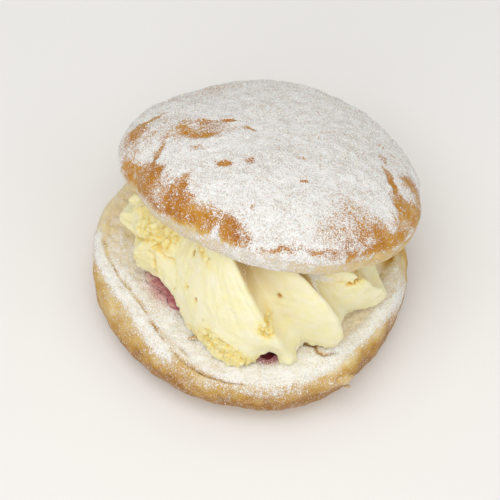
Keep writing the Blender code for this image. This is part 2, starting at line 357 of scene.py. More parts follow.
# %% [markdown]
# Icing sugar was sieved over the bun. It lies thick on top, and was rubbed off where the bun was
# held: on the left, along the front above the rim and on the right. An image could be painted
# for it. Patches and spots in mm need no image, and they keep their place if the grid changes.

# %% Where the sugar was rubbed off the upper half
DOME_BARE = (
    # A streak up the left side, along a fold.
    Patch(-28.5, -25.6, 5.6, 0.9, 86, 0.85),
    # The streaks high on the left.
    Patch(-39.4, -15.2, 3.4, 2.4, 90, 0.75),
    Patch(-36.5, -10.5, 4.2, 0.9, 40, 0.6),
    Patch(-36.0, -15.0, 6.0, 5.0, 60, 0.3),
    Patch(-22.0, -15.8, 10.5, 4.8, 20, 0.55),
    Patch(-22.4, -18.4, 2.0, 1.2, 0, 0.42),
    Patch(-17.2, -18.4, 3.6, 1.5, 15, 0.55),
    Patch(-25.4, -16.2, 1.6, 1.0, 0, 0.3),
    Patch(-19.9, -11.4, 3.6, 0.7, 25, 0.55),
    Patch(-13.2, -8.9, 2.6, 0.7, 30, 0.8),
    Patch(-7.2, -10.9, 2.2, 0.6, 0, 0.75),
    Patch(-18.0, -23.9, 1.9, 1.3, 20, 0.5),
    # Small spots on the front of the dome.
    Patch(-8.4, -28.1, 2.3, 1.3, 10, 0.9),
    Patch(-2.3, -24.8, 1.6, 1.4, 0, 0.6),
    Patch(4.7, -38.6, 0.7, 0.5, 80, 0.8),
    Patch(14.5, -25.7, 1.2, 0.6, 20, 0.8),
    Patch(11.0, -17.0, 0.9, 0.8, 0, 0.55),
    # A torn streak on the right, and the folds above it.
    Patch(35.2, -6.2, 4.8, 1.3, -52, 1.15),
    Patch(30.6, 1.6, 2.4, 1.2, -50, 0.5),
    Patch(38.8, -1.5, 3.5, 2.5, 90, 0.42),
    Patch(29.5, 8.5, 4.0, 0.6, -10, 0.5),
    # Thin sugar towards the back, which also paints the greyer shade of the back of the dome.
    Patch(-31.0, 12.0, 16.0, 6.0, 50, 0.26),
    Patch(0.0, 42.0, 26.0, 4.0, 0, 0.5),
    Patch(30.0, 30.0, 14.0, 3.0, -45, 0.4),
)
SIDE_BARE = (
    # The bare side on the left.
    Spot(-53, 6.5, 6.0, 3.6, 1.1),
    Spot(-46, 9.3, 5.0, 4.2, 1.1),
    Spot(-40, 13.5, 2.6, 3.0, 0.9),
    Spot(-62, 12.5, 8.0, 4.5, 0.34),
    # The fan at the front left: worn at its left, bare in its middle, thin on its right.
    Spot(-33, 9.5, 7.5, 6.0, 0.68),
    Spot(-26, 15.4, 2.2, 2.6, 0.72),
    Spot(-21.5, 10.6, 4.8, 4.4, 1.0),
    Spot(-13.0, 8.6, 5.6, 3.2, 1.05),
    Spot(-8.5, 12.2, 5.4, 2.4, 0.62),
    # A run of sugar between the fan and the next spot.
    Spot(-4.6, 6.6, 0.7, 3.4, -1.2),
    Spot(-0.4, 8.6, 3.0, 5.0, 0.84),
    Spot(4.2, 9.4, 4.4, 4.0, 0.56),
    # Thin sugar at the front right, over the line along the rim.
    Spot(44, 14.6, 8.5, 4.6, 0.46),
    Spot(53, 14.0, 4.5, 3.0, 0.25),
    Spot(47, 6.9, 12.0, 1.6, 0.35),
    # The bare places on the right.
    Spot(58, 11.2, 3.2, 3.4, 0.9),
    Spot(64, 8.6, 5.5, 2.0, 1.0),
    Spot(70, 11.8, 5.0, 3.4, 0.62),
    Spot(74, 15.2, 3.6, 2.4, 1.0),
    Spot(80, 10.0, 4.0, 4.6, 0.85),
    Spot(92, 13.0, 6.0, 4.0, 0.75),
)
# The worn line along the front of the rim: the height that it has at each azimuth.
WORN_AZIMUTHS = (11, 14, 19, 28, 35, 44, 51, 60)
WORN_HEIGHTS = (6.2, 7.2, 9.0, 9.8, 9.4, 8.4, 8.4, 8.2)

# %% [markdown]
# The rings lie close together on the crust, where sugar and wrinkles need fine points, and
# farther apart on the cut face, which hardly shows.

# %% The rings of the upper half
LID_TURNS = 400
CUT_RINGS = 22
CUT_LEVEL = 2.2
around_lid = full_turn(LID_TURNS)
levels = np.concatenate([np.linspace(2, 1, 27)[:-1], np.linspace(1, 0.012, 112)])[:, None]
cut_shares = np.linspace(0.03, 0.985, CUT_RINGS)[:, None, None]
crust_rings = lid_surface(around_lid, levels)
cut_rings = band(around_lid, np.ones((1, 1))) * cut_shares
lid_rings = np.concatenate([cut_rings, crust_rings])
lid_level = np.concatenate([np.full((CUT_RINGS, 1), CUT_LEVEL), levels]) + 0 * around_lid
lid_azimuth = turned(around_lid + 0 * lid_level)
lid_height = lid_rings[..., 2]
print("the upper half has", len(lid_rings), "rings of", LID_TURNS, "points")

# %% [markdown]
# How thick the sugar lies is one sum: a full layer, less the patches, more or less some noise.
# Streaks run down the slope, as fingers leave them. Under the rim there is only a dusting.

# %% How the sugar lies on the upper half
# At its side the half is about 43 mm out, and its dome is about 62 mm long from top to rim.
STREAK_WIDTH = 1.3
STREAK_LENGTH = 9
combed = triple(lid_azimuth * 43 / STREAK_WIDTH, lid_level * 62 / STREAK_LENGTH, 0.5)
streaks = drift(combed, 1.0, 2)
ragged = 0.5 * drift(lid_rings, 3.2, 3) + 0.35 * drift(lid_rings, 1.3, 4)
spread = lid_rings + 0.8 * sway(lid_rings, 2.4, 70)
lid_degrees = np.degrees(lid_azimuth)
bare = patch_sum(DOME_BARE, spread) * smooth((lid_height - 9.0) / 3.0)
bare = bare + spot_sum(SIDE_BARE, azimuth_of(spread), spread[..., 2], LID_RADIUS)
worn_height = np.interp(lid_degrees, WORN_AZIMUTHS, WORN_HEIGHTS)
worn = bell((lid_height - worn_height + 0.9 * drift(lid_rings, 3.0, 18)) / 1.7)
worn = worn * smooth((lid_degrees - 10) / 4) * smooth((62 - lid_degrees) / 8)
bare = bare + worn * np.clip(0.56 + 0.6 * drift(lid_rings, 4.0, 19), 0.15, 0.9)
bare = bare * (1 + 0.5 * ragged + 0.3 * streaks)
bare = np.minimum(bare, 0.90 + 0.3 * ragged + 0.4 * streaks)
sugar = 1.35 - 1.44 * bare + 0.24 * drift(lid_rings, 9.0, 5)
sugar += 0.16 * drift(lid_rings, 4.0, 73)
sugar += 0.12 * ragged
sugar += 0.14 * streaks * smooth((lid_level - 0.55) / 0.3)

# At the front left the crust and its sugar reach farther down.
lowered = 3.2 * hump(lid_azimuth, -54, 20)
below = smooth((LID_RIM_HEIGHT - 0.3 - lowered + 1.3 * drift(lid_rings, 6, 6) - lid_height) / 2.2)
powdered = 0.10 + 0.95 * hump(lid_azimuth, 11, 21)
powdered += 0.22 * hump(lid_azimuth, -25, 14)
powdered += 0.25 * drift(lid_rings, 2.6, 7) + 0.2 * drift(lid_rings, 7, 8)
lid_sugar = mix(sugar, powdered, below) * smooth((2.08 - lid_level) / 0.3)
print("sugar covers", round(float((lid_sugar[CUT_RINGS:] > 0.5).mean()), 2), "of the upper half's crust")

# %% [markdown]
# The fat browned the whole dome and left the band pale. A mark from 0, pale, to 1, dark, says
# how far each point was fried, so that the finish needs only one row of colours.

# %% How dark the upper half was fried
fried_from = lid_height - 4.6 + lowered + 1.6 * drift(lid_rings, 7, 9) + 0.8 * drift(lid_rings, 2, 10)
fried = smooth(fried_from / 4.2)
deeper = 0.62 + 0.16 * drift(lid_rings, 13, 11) + 0.08 * drift(lid_rings, 4, 12)
deeper = deeper + 0.16 * hump(lid_azimuth, 28, 26) * smooth((lid_level - 0.8) / 0.12)
deeper = deeper - 0.14 * hump(lid_azimuth, 76, 22) * smooth((lid_level - 0.6) / 0.2)
gold_band = 0.22 * hump(lid_azimuth, 66, 20) * smooth((lid_height - 0.5) / 3)
lid_fry = np.clip(fried * deeper + 0.12 + gold_band * (1 - fried), 0, 1)
print("the upper half is browned by", round(float(lid_fry[CUT_RINGS:].mean()), 2), "of a full fry")

# %% [markdown]
# The thin skin wrinkles as it cools, and sugar stands up on it. A bump in the finish would not
# show along the outline, so the points themselves are moved.

# %% Wrinkles, and sugar that stands up a little
wrinkle = 0.34 * drift(lid_rings, 7.5, 13) + 0.20 * drift(lid_rings, 3.4, 20)
wrinkle += 0.11 * drift(lid_rings, 1.8, 14)
pile = 0.16 + 0.10 * drift(lid_rings, 1.5, 15) + 0.08 * drift(lid_rings, 0.9, 16)
pile = np.clip(lid_sugar, 0, 1.2) * pile
pores = -0.55 * smooth((0.42 - cells(lid_rings, 2.6, 17)[0]) / 0.3)
on_crust = lid_level <= 2
relief = np.where(on_crust, wrinkle + pile - 0.25, pores)
lid_rings = lift(lid_rings, relief)

# %% Make the upper half
marks = {"sugar": lid_sugar, "fry": lid_fry, "stain": 0, "inside": ~on_crust * 1.0}
lid = skin("bun_lid_crust", lid_rings, marks)
lid.data.transform(LID_PLACE)

# %% [markdown]
# ## The lower half of the bun
# The lower half sits flat on the table. Its crust is golden underneath and pale near the cut.
# The cut face is dished, and a crease runs where the crust was folded in by the knife. It could
# be cut off a whole bun. Three curves, for underside, shoulder and cut face, make the same half
# with an even grid and no cut to clean up.

# %% The sizes of the lower half
BASE_RADIUS = 49.0
BASE_FOOT = 27.0
BASE_RIM_HEIGHT = 9.5
BASE_HEIGHT = 19.0
BASE_DISH = 2.4
CREASE_DEPTH = 1.3
CUT_SHARE = 0.945
CUT_WANDER = Dent(-39, 29, 0.155)
FLAP = Dent(53, 5.5, 2.6)
BASE_WAVES = (Wave(2, 0.026, 64), Wave(3, 0.015, 21), Wave(4, 0.010, 42))
BASE_DENTS = (Dent(-108, 15, 2.3), Dent(18, 9, 0.7), Dent(98, 18, -0.7))


def base_radius(azimuth):
    """How far out the rim of the lower half is."""
    return BASE_RADIUS * outline(azimuth, BASE_WAVES) - dented(azimuth, BASE_DENTS)


def cut_share(azimuth):
    """The share of the radius at which the crust ends and the cut face begins."""
    return CUT_SHARE - dented(azimuth, [CUT_WANDER])


def crumb_height(reach, azimuth):
    """The height of the cut face."""
    share = reach / base_radius(azimuth)
    return BASE_HEIGHT - BASE_DISH * smooth(1.15 - share / cut_share(azimuth))


def shoulder(azimuth, share):
    """The crust from the rim at share 0 to the cut edge at share 1."""
    radius = base_radius(azimuth)
    angle = share * math.pi / 2
    inward = radius * (1 - cut_share(azimuth))
    height = mix(BASE_RIM_HEIGHT, BASE_HEIGHT, np.sin(angle) ** 0.9)
    reach = radius - inward * (1 - np.cos(angle)) ** 1.25
    return around(reach + dented(azimuth, [FLAP]) * np.sin(share * math.pi) ** 2, azimuth, height)


def underside(azimuth, share):
    """The crust from the edge of the flat spot at share 0 to the rim at share 1."""
    angle = share * math.pi / 2
    reach = mix(BASE_FOOT, base_radius(azimuth), np.sin(angle))
    return around(reach, azimuth, BASE_RIM_HEIGHT * (1 - np.cos(angle)))


def cut_face(azimuth, share):
    """The cut face from its edge at share 0 to its middle at share 1."""
    reach = base_radius(azimuth) * cut_share(azimuth) * (1 - share)
    return around(reach, azimuth, crumb_height(reach, azimuth))


def base_surface(azimuth, level):
    """The shoulder up to level 1, and the cut face from there to level 2."""
    crust = shoulder(azimuth, np.clip(level, 0, 1))
    crumb = cut_face(azimuth, np.clip(level - 1, 0, 1))
    return np.where((level > 1)[..., None], crumb, crust)


# %% [markdown]
# Nearly half of the rings lie on the outer part of the cut face, where crease, sugar and crumb
# show. Few are needed on the flat spot underneath and under the cream.

# %% The rings of the lower half
BASE_TURNS = 440
around_base = full_turn(BASE_TURNS)
flat_rings = around(np.linspace(3, BASE_FOOT, 6)[:-1, None], around_base, 0.0)
under_rings = underside(around_base, np.linspace(0, 1, 27)[:-1, None])
shoulder_levels = np.linspace(0, 1, 34)[:-1]
cut_levels = np.concatenate([np.linspace(1, 1.5, 64), np.linspace(1.54, 1.97, 10)])
base_level = np.concatenate([shoulder_levels, cut_levels])[:, None] + 0 * around_base
top_rings = base_surface(around_base, base_level)
base_rings = np.concatenate([flat_rings, under_rings, top_rings])
skipped = len(base_rings) - len(top_rings)
base_level = np.concatenate([np.full((skipped, BASE_TURNS), -1.0), base_level])
base_azimuth = turned(around_base + 0 * base_level)
base_reach = np.hypot(base_rings[..., 0], base_rings[..., 1])
from_cut = base_reach - base_radius(base_azimuth) * cut_share(base_azimuth)
degrees = np.degrees(base_azimuth)
print("the lower half has", len(base_rings), "rings of", BASE_TURNS, "points")

# %% [markdown]
# Sugar fell on the lower half wherever the upper one didn't cover it. It lies in a white ridge
# along the crease, in a broad drift at the front right, and as thin dust on the cut face. Each
# of these is one term of a sum, so each can be moved without the others.

# %% How the sugar lies on the lower half
rough_base = 0.30 * drift(base_rings, 5.5, 21) + 0.22 * drift(base_rings, 1.8, 22)
wander = 0.8 * drift(base_rings, 9, 23)


def stretch(first, last, fade):
    """1 between two azimuths in degrees, fading outside them over this many degrees."""
    return smooth((degrees - first) / fade + 0.5) * smooth((last - degrees) / fade + 0.5)


ridge = bell((from_cut - 2.2 - wander) / 2.1) * stretch(-78, -12, 14)
front_drift = bell((base_reach - 43.6) / 3.8) * stretch(15, 56, 18)
drift_reach = np.interp(degrees, (47, 58, 74, 93), (46.6, 44.9, 45.0, 48.3))
right_drift = bell((base_reach - drift_reach - 0.5 * wander) / 2.0) * stretch(48, 98, 14)
inner_white = stretch(-34, 4, 12) * smooth((-1.0 - from_cut) / 2) * smooth((base_reach - 30) / 3)
inner_white += 1.2 * bell((from_cut + 1.9) / 1.3) * stretch(-64, -36, 12)
patchy_left = stretch(-106, -68, 12) * (0.12 + 0.5 * drift(base_rings, 2.2, 39)) * (base_level > 0.8)
dust = 0.62 * smooth((1.5 - from_cut) / 2.5) * (1 - 0.75 * stretch(-125, -74, 14))
dust -= 0.35 * stretch(60, 110, 14) * smooth((43.5 - base_reach) / 3)
film = 0.20 * stretch(-48, 48, 24) + 0.30 * stretch(2, 46, 20)
film = film * smooth((base_level - 0.26) / 0.4)
base_sugar = dust + film + patchy_left + 0.5 * inner_white + 2.1 * ridge + 0.9 * front_drift
base_sugar += 1.5 * right_drift
base_sugar = (base_sugar + rough_base - 0.10) * smooth(base_level / 0.35)

# %% [markdown]
# The knife left a crease near the crust and a fainter one inside it, and the crumb cracked where
# a tip of cream pulled at it. Each is a line with a soft bell across it. The same bell takes away
# the sugar here and cuts the groove below, so colour and shape always agree. In the crack, shade
# is painted in as dark brown crust with no sugar.

# %% The crease, a second one inside it, and a crack in the crumb
CREASE = ((-64, 43.7), (-55, 41.6), (-46, 40.2), (-34, 39.0), (-24, 38.5), (-10, 39.6), (-2, 41.2))
CRACK = ((26.6, -24.4), (29.8, -23.8), (31.3, -26.0), (33.8, -26.4), (37.0, -24.2))
broken = np.clip(0.75 + 1.1 * drift(base_rings, 5, 35), 0, 1.4)
line = bell((from_cut + 0.35 * drift(base_rings, 3, 27)) / 0.65) * stretch(-78, 22, 8)
crease_reach = np.interp(degrees, *np.array(CREASE).T) + 0.35 * drift(base_rings, 2.4, 38)
second = bell((base_reach - crease_reach) / 0.5) * stretch(-62, -6, 6)
line = np.maximum(line, 0.8 * second) * broken
ripped = base_rings + 0.5 * sway(base_rings, 1.6, 74)
crack_here = bell(line_distance(CRACK, ripped[..., 0], ripped[..., 1]) / 0.55) * (base_level > 0.5)
base_sugar = base_sugar * (1 - 0.85 * np.minimum(line, 1)) - 1.2 * crack_here

# %% [markdown]
# The crust is browner towards its foot, which lay deepest in the fat. Jam has soaked into the
# crumb on the left and before the notch in the cream.

# %% How dark the lower half was fried, and where the jam soaked in
tone = base_rings[..., 2] + 2.8 * drift(base_rings, 8, 24) + 1.5 * drift(base_rings, 2.8, 25)
paler_left = 0.34 * stretch(-140, -72, 24)
# The front of the lower half is darker: partly browner crust, and partly painted shade.
darker_front_and_shade = 0.24 * stretch(-34, 44, 24)
base_fry_and_shade = np.clip(1.02 - paler_left + darker_front_and_shade - 0.068 * (tone - 7.5), 0.05, 1.15)
base_fry_and_shade += 0.30 * stretch(44, 98, 20) * smooth((from_cut - 0.5) / 2.0) + 0.35 * line
# Painted shade: the crack in the crumb is coloured dark brown.
base_fry_and_shade = np.where(from_cut < -0.6, 0.10 + 0.45 * base_fry_and_shade, base_fry_and_shade) + 0.8 * crack_here
left_stain = hump(base_azimuth, -42, 17) * smooth((37.0 + wander - base_reach) / 8.0)
front_stain = hump(base_azimuth, 29.5, 7) * smooth((42.5 - base_reach) / 6.5)
stain = 0.9 * left_stain * (1 + 0.5 * rough_base) + 1.5 * front_stain
base_sugar -= 0.6 * smooth(front_stain * 1.6)
print("sugar covers", round(float((base_sugar[skipped:] > 0.5).mean()), 2), "of the lower half's top")

# %% [markdown]
# On the right the cut ends in a fold of crust. Its shade beside the cream is painted in brown,
# and the crust outside the fold is pale.

# %% A fold of crust on the right
FOLD = ((39.4, 5.0), (40.6, 8.6), (41.4, 13.0))
fold_shade = bell(line_distance(FOLD, ripped[..., 0], ripped[..., 1]) / 1.6) * (base_level > 0.6)
fold_crust = stretch(103, 150, 7) * smooth((base_reach - 39) / 3)
# Painted shade: the fold's shade loses its sugar and is coloured browner.
base_sugar -= 1.0 * fold_shade + 0.25 * fold_crust
base_fry_and_shade += 0.6 * fold_shade
print("the fold's shade darkens", int((fold_shade > 0.5).sum()), "points")

# %% [markdown]
# Crust has shallow dimples. Crumb is torn into pores and folds, and sugar fills them up. All of
# it is low, so it is relief on the same skin and not pieces of its own.

# %% The crease, the skin's dimples and the crumb's pores
groove = CREASE_DEPTH * (0.3 + 0.7 * hump(base_azimuth, -39, 75))
groove = groove * line * (base_level > 0.5)
dimple = 0.55 * drift(base_rings, 6.5, 28) + 0.20 * drift(base_rings, 2.6, 29)
dimple += 0.08 * drift(base_rings, 1.1, 30)
large_pores, small_pores = (smooth((0.44 - cells(base_rings, s, 31)[0]) / 0.3) for s in (2.6, 1.2))
folds = np.abs(drift(base_rings * [0.55, 1, 1], 3.4, 36))
on_crumb = smooth((-0.8 - from_cut) / 1.0) * (base_level > 0.9)
covered = smooth((base_sugar - 0.35) / 0.5)
crumb_relief = 0.22 * drift(base_rings, 3.2, 33) + 0.45 * folds
crumb_relief = crumb_relief - (0.42 * large_pores + 0.16 * small_pores) * (1 - 0.8 * covered)
relief = mix(dimple, crumb_relief - 0.15, on_crumb)
relief = relief + covered * (0.18 + 0.14 * drift(base_rings, 1.4, 34)) - 0.12 - groove
relief -= 0.9 * np.maximum(crack_here, fold_shade)
relief = relief * smooth((base_rings[..., 2] - 0.2) / 3.0)
under_filling = smooth((24.0 - base_reach) / 4.0) * (base_level > 1)
base_rings = lift(base_rings, relief * (1 - under_filling))

# %% Make the lower half
# Painted shade: in the crack the crumb takes the dark colours of the skin.
inside = on_crumb * (1 - 0.75 * stretch(-112, -76, 14)) * (1 - crack_here) * (1 - fold_crust)
# The fry mark of the lower half also carries painted shade, in its crack, its fold and on its front.
marks = {"sugar": base_sugar, "fry": base_fry_and_shade, "stain": stain, "inside": inside}
base = skin("bun_base_crust", base_rings, marks)
base.data.transform(BASE_PLACE)

# %% [markdown]
# ## The jam
# Raspberry jam is spread on the cut face before the cream is piped. It comes out on the left,
# where it has soaked into the crumb, and through a small arch in the cream at the front. It could
# be a fluid simulation. A pool of rings with a round wet edge is enough, as only its rim shows.

# %% The pool of jam
Spill = namedtuple("Spill", "azimuth width reach")
GAP = 0.3
JAM_RADIUS = 24.5
JAM_THICKNESS = 2.2
JAM_EDGE = 3.0
JAM_SPILLS = (Spill(-52, 13, 9.0), Spill(-28, 11, 6.5), Spill(29, 9, 14.5))


def jam_radius(azimuth, widened=0.0):
    """How far out the jam comes, with its spills made wider by this many degrees."""
    spills = (s.reach * hump(azimuth, s.azimuth, s.width + widened) for s in JAM_SPILLS)
    return JAM_RADIUS + sum(spills)


JAM_TURNS = 320
around_jam = full_turn(JAM_TURNS)
edge = jam_radius(around_jam) + 0.35 * drift(around(30.0, around_jam, 0.0), 3.0, 41)
under_reach = edge * np.linspace(0.3, 0.985, 5)[:, None]
over_reach = edge - np.concatenate([np.linspace(0.3, 9, 26), np.linspace(10, 20, 6)])[:, None]
under = around(under_reach, around_jam, crumb_height(under_reach, around_jam) + GAP)
soaked = hump(around_jam, -42, 28)
at_notch = hump(around_jam, 29, 12)
thin = 0.85 * soaked * smooth((over_reach - 23) / 4) + 0.92 * at_notch * smooth((over_reach - 33.5) / 3.5)
swell_up = JAM_THICKNESS * smooth((edge - over_reach) / JAM_EDGE) * (1 - thin)
over = around(over_reach, around_jam, crumb_height(over_reach, around_jam) + GAP + swell_up)
jam_rings = np.concatenate([under, over])
jam_reach = np.concatenate([under_reach, over_reach])
clots = 0.16 * drift(jam_rings, 2.4, 42) + 0.14 * smooth((0.4 - cells(jam_rings, 1.7, 43)[0]) / 0.25)
on_top = np.concatenate([0 * under_reach, 0 * over_reach + 1])
jam_rings = lift(jam_rings, clots * on_top)
jam_dust = 0.9 * smooth((jam_reach - 27.5) / 6.5) + 0.30 * drift(jam_rings, 1.6, 44)
jam_dust = soaked * (jam_dust + 0.2 * drift(jam_rings, 3.5, 45))
jam = skin("jam_pool", jam_rings, {"soaked": soaked * on_top, "sugar": jam_dust})
jam.data.transform(BASE_PLACE)

# %% [markdown]
# ## The cream
# The cream was piped through a star nozzle in one leaning swirl. Each tooth of the nozzle left a
# ridge that runs down from under the upper half and ends in a torn tip, with a hollow after it.
# A star could be drawn out and twisted, but each real ridge leans and ends in its own way, so
# each is a row of numbers. The skin's columns follow the ridges, so their crests stay crisp.

# %% The sizes of the cream
Ridge = namedtuple("Ridge", "foot lid bend reach belly hollow share crisp shaded")
# The last number of each ridge says how strongly shade is painted in the hollow after it.
RIDGES = (
    Ridge(-80, -62, 1.7, 35.5, 5.2, 2.5, 0.45, 0.1, 0.1),
    Ridge(-56, -46, 1.7, 33.8, 2.5, 7.2, 0.20, 0.2, 0.2),
    Ridge(37.5, 10, 1.7, 42.2, 2.0, 5.8, 0.50, 1.0, 1.0),
    Ridge(57, 44, 3.2, 42.2, 4.5, 6.2, 0.50, 1.0, 1.0),
    Ridge(88, 65, 1.3, 43.8, 1.5, 5.0, 0.50, 0.8, 0.6),
    Ridge(120, 110, 1.5, 39.0, 2.5, 4.0, 0.45, 0.6, 0.5),
    Ridge(150, 143, 1.5, 35.0, 2.5, 3.5, 0.45, 0.5, 0.5),
    Ridge(182, 178, 1.5, 33.0, 2.0, 3.0, 0.45, 0.4, 0.4),
    Ridge(212, 214, 1.5, 32.0, 2.0, 3.0, 0.45, 0.4, 0.4),
    Ridge(244, 252, 1.5, 33.0, 1.5, 3.0, 0.45, 0.4, 0.4),
)
HOLLOW_LEAN = 0.24
CREAM_LID_INSET = 0.5
CREAM_BACK = 32.0
FOOT_DENTS = (Dent(29, 8.5, 4.8), Dent(14, 11, -1.4))
FOOT_DENT_RISE = 0.4
TOP_DENTS = (Dent(-88, 14, 9.0),)
PINCH = Dent(-64, 17, 2.2)
PINCH_RISE = 0.42
PINCH_CLIMB = 0.7
PINCH_SPREAD = 0.09
JAM_CLEARANCE = 2.6
JAM_CLEARANCE_TURN = 4.5

# %% The columns of the cream, which follow its ridges
ridge_rows = np.array(RIDGES, dtype=float)
next_rows = np.roll(ridge_rows, -1, axis=0)
next_rows[-1, :2] += 360
COLUMN = 0.72
owners = []
places = []
for index in range(len(RIDGES)):
    count = int(round((next_rows[index, 0] - ridge_rows[index, 0]) / COLUMN))
    owners += [index] * count
    places += [step / count for step in range(count)]
here = Ridge(*ridge_rows[owners].T)
there = Ridge(*next_rows[owners].T)
share = np.array(places)
print("the cream has", len(share), "columns")


# %% [markdown]
# The side of the cream is worked out for each column and rise. It starts at the ridge's reach on
# the lower half and ends inside the edge of the upper one, with a belly and a hollow between.

# %% The side of the cream
def ribbon(lowest):
    """The height of a ribbon between two ridges: 1 on them, and 0 in the hollow between."""
    falling = np.clip(1 - share / lowest, 0, 1) ** 1.6
    rising = smooth((share - lowest) / (1 - lowest)) ** 0.8
    return np.where(share < lowest, falling, rising)


def cream_azimuth(rise):
    """Where round the doughnut each column is at this rise, as the ribbons lean."""
    first = mix(here.foot, here.lid, rise**here.bend)
    last = mix(there.foot, there.lid, rise**there.bend)
    return np.radians(mix(first, last, share))


def lid_edge_reach(azimuth):
    """How far out the edge of the upper half's cut face lies, seen from above."""
    offset = LID_CENTRE - BASE_CENTRE
    reach = np.full(azimuth.shape, 0.75 * LID_RADIUS)
    edge_azimuth = np.linspace(-math.pi, math.pi, 361)
    edge_reach = np.linalg.norm(band(edge_azimuth, np.ones(361)), axis=-1)
    for _ in range(12):
        x = reach * np.sin(azimuth) - offset[0]
        y = (-reach * np.cos(azimuth) - offset[1]) / math.cos(LID_TILT)
        reach = reach + 0.8 * (np.interp(np.arctan2(x, -y), edge_azimuth, edge_reach) - np.hypot(x, y))
    return reach


def cream_reach(rise):
    """How far out the cream comes at this rise from the lower half to the upper one."""
    azimuth = cream_azimuth(rise)
    foot = mix(here.reach, there.reach, smooth(share))
    lean = mix(here.share, np.minimum(here.share, HOLLOW_LEAN), smooth(rise * 1.8))
    hollow = here.hollow * (1 - ribbon(lean))
    belly = mix(here.belly, there.belly, smooth(share)) * np.sin(math.pi * rise)
    top = np.minimum(
        lid_edge_reach(azimuth) - CREAM_LID_INSET,
        CREAM_BACK + BASE_RADIUS * smooth(np.cos(azimuth) + 0.7),
    )
    top = top - dented(azimuth, TOP_DENTS)
    dent = dented(azimuth, FOOT_DENTS) * (1 - smooth(rise / FOOT_DENT_RISE))
    climb = PINCH_RISE + PINCH_CLIMB * turned(azimuth - math.radians(PINCH.azimuth))
    pinch = dented(azimuth, [PINCH]) * bell((rise - climb) / PINCH_SPREAD)
    return mix(foot, top, rise**1.5) + belly - hollow - dent - pinch


def cream_floor(reach, azimuth):
    """The underside, which lies on the jam and the cut face."""
    inside = jam_radius(azimuth, JAM_CLEARANCE_TURN) + JAM_CLEARANCE - reach
    return crumb_height(reach, azimuth) + GAP * 1.3 + (JAM_THICKNESS + GAP) * smooth(inside / JAM_EDGE)


def cream_roof(reach, azimuth):
    """The top, pressed flat by the upper half."""
    offset = LID_CENTRE - BASE_CENTRE
    return offset[2] - (-reach * np.cos(azimuth) - offset[1]) * math.tan(LID_TILT) - GAP * 1.5


# %% The rings of the cream
WALL_RINGS = 104
FLOOR_RINGS = 16
rise = np.linspace(0, 1, WALL_RINGS)[:, None]
wall_azimuth = cream_azimuth(rise)
wall_reach = cream_reach(rise)
foot_reach, foot_azimuth = cream_reach(np.zeros((1, 1))), cream_azimuth(np.zeros((1, 1)))
top_reach, top_azimuth = cream_reach(np.ones((1, 1))), cream_azimuth(np.ones((1, 1)))
low = cream_floor(foot_reach, foot_azimuth)
high = cream_roof(top_reach, top_azimuth)
wall = around(wall_reach, wall_azimuth, mix(low, high, rise))
floor_reach = foot_reach * np.linspace(0.3, 0.97, FLOOR_RINGS)[:, None]
roof_reach = top_reach * np.array([0.96, 0.88, 0.7, 0.45, 0.2])[:, None]
cream_rings = np.concatenate([
    around(floor_reach, foot_azimuth, cream_floor(floor_reach, foot_azimuth)),
    wall,
    around(roof_reach, top_azimuth, cream_roof(roof_reach, top_azimuth)),
])
below_wall, above_wall = FLOOR_RINGS, len(roof_reach)
rises = np.concatenate([np.full(below_wall, -1.0), rise.ravel(), np.full(above_wall, 2.0)])
cream_rise = rises[:, None] + 0 * share
print("the cream has", len(cream_rings), "rings")

# %% [markdown]
# Cream that has stood or was overworked splits into curds. Here it has curdled down the left
# side, along the front foot and in a patch on the front ridge. Elsewhere it is satin smooth.
# Each spot has an azimuth in degrees, a height, and half a width and half a height in mm.

# %% Where the cream curdled, split and bulged
CURDLED = (
    Spot(-55, 44, 7.0, 5.5, 0.95),
    Spot(-45, 43, 4.0, 6.0, 1.0),
    Spot(-66, 31, 5.5, 6.0, 0.35),
    Spot(-48, 29, 5.5, 7.0, 0.35),
    Spot(4, 27, 4.5, 4.0, 0.9),
    Spot(11, 23.5, 5.0, 4.5, 1.0),
    Spot(18, 20.5, 3.5, 3.0, 0.9),
    Spot(-5, 22, 4.0, 3.0, 0.7),
    Spot(28.0, 38, 2.0, 3.0, 1.0),
    Spot(68, 44.5, 2.8, 1.5, 0.8),
    Spot(-13, 49, 6.0, 1.2, 0.8),
    Spot(57, 47, 5.0, 2.0, 0.4),
    Spot(-17, 36.6, 1.2, 1.0, 0.6),
    Spot(-8, 36, 0.9, 0.9, 0.5),
    Spot(112, 30, 6.0, 6.0, 0.5),
    Spot(-110, 28, 6.0, 7.0, 0.6),
    Spot(170, 22, 8.0, 5.0, 0.5),
)
BULGES = (
    Spot(-76, 38.5, 5.0, 3.2, -1.2),
    Spot(-75, 28.6, 4.0, 1.6, 1.4),
    Spot(-76, 24, 5.0, 2.2, -0.8),
    Spot(-92, 43, 6.0, 5.0, -2.4),
    Spot(-72, 44, 6.0, 4.0, -0.8),
    Spot(-56, 28, 4.2, 6.0, 0.2),
    Spot(-39, 28, 4.2, 6.5, 1.7),
    Spot(-51, 46, 4.0, 3.0, 0.7),
    Spot(28, 38, 1.8, 2.4, 0.3),
    Spot(87, 28.6, 4.0, 2.4, -1.7),
    Spot(85, 21.5, 3.5, 2.0, 0.6),
    Spot(80, 37, 4.0, 4.0, -0.8),
    Spot(37.0, 18.0, 1.9, 5.5, 1.4),
    Spot(60.5, 22.0, 2.0, 4.0, -1.1),
)
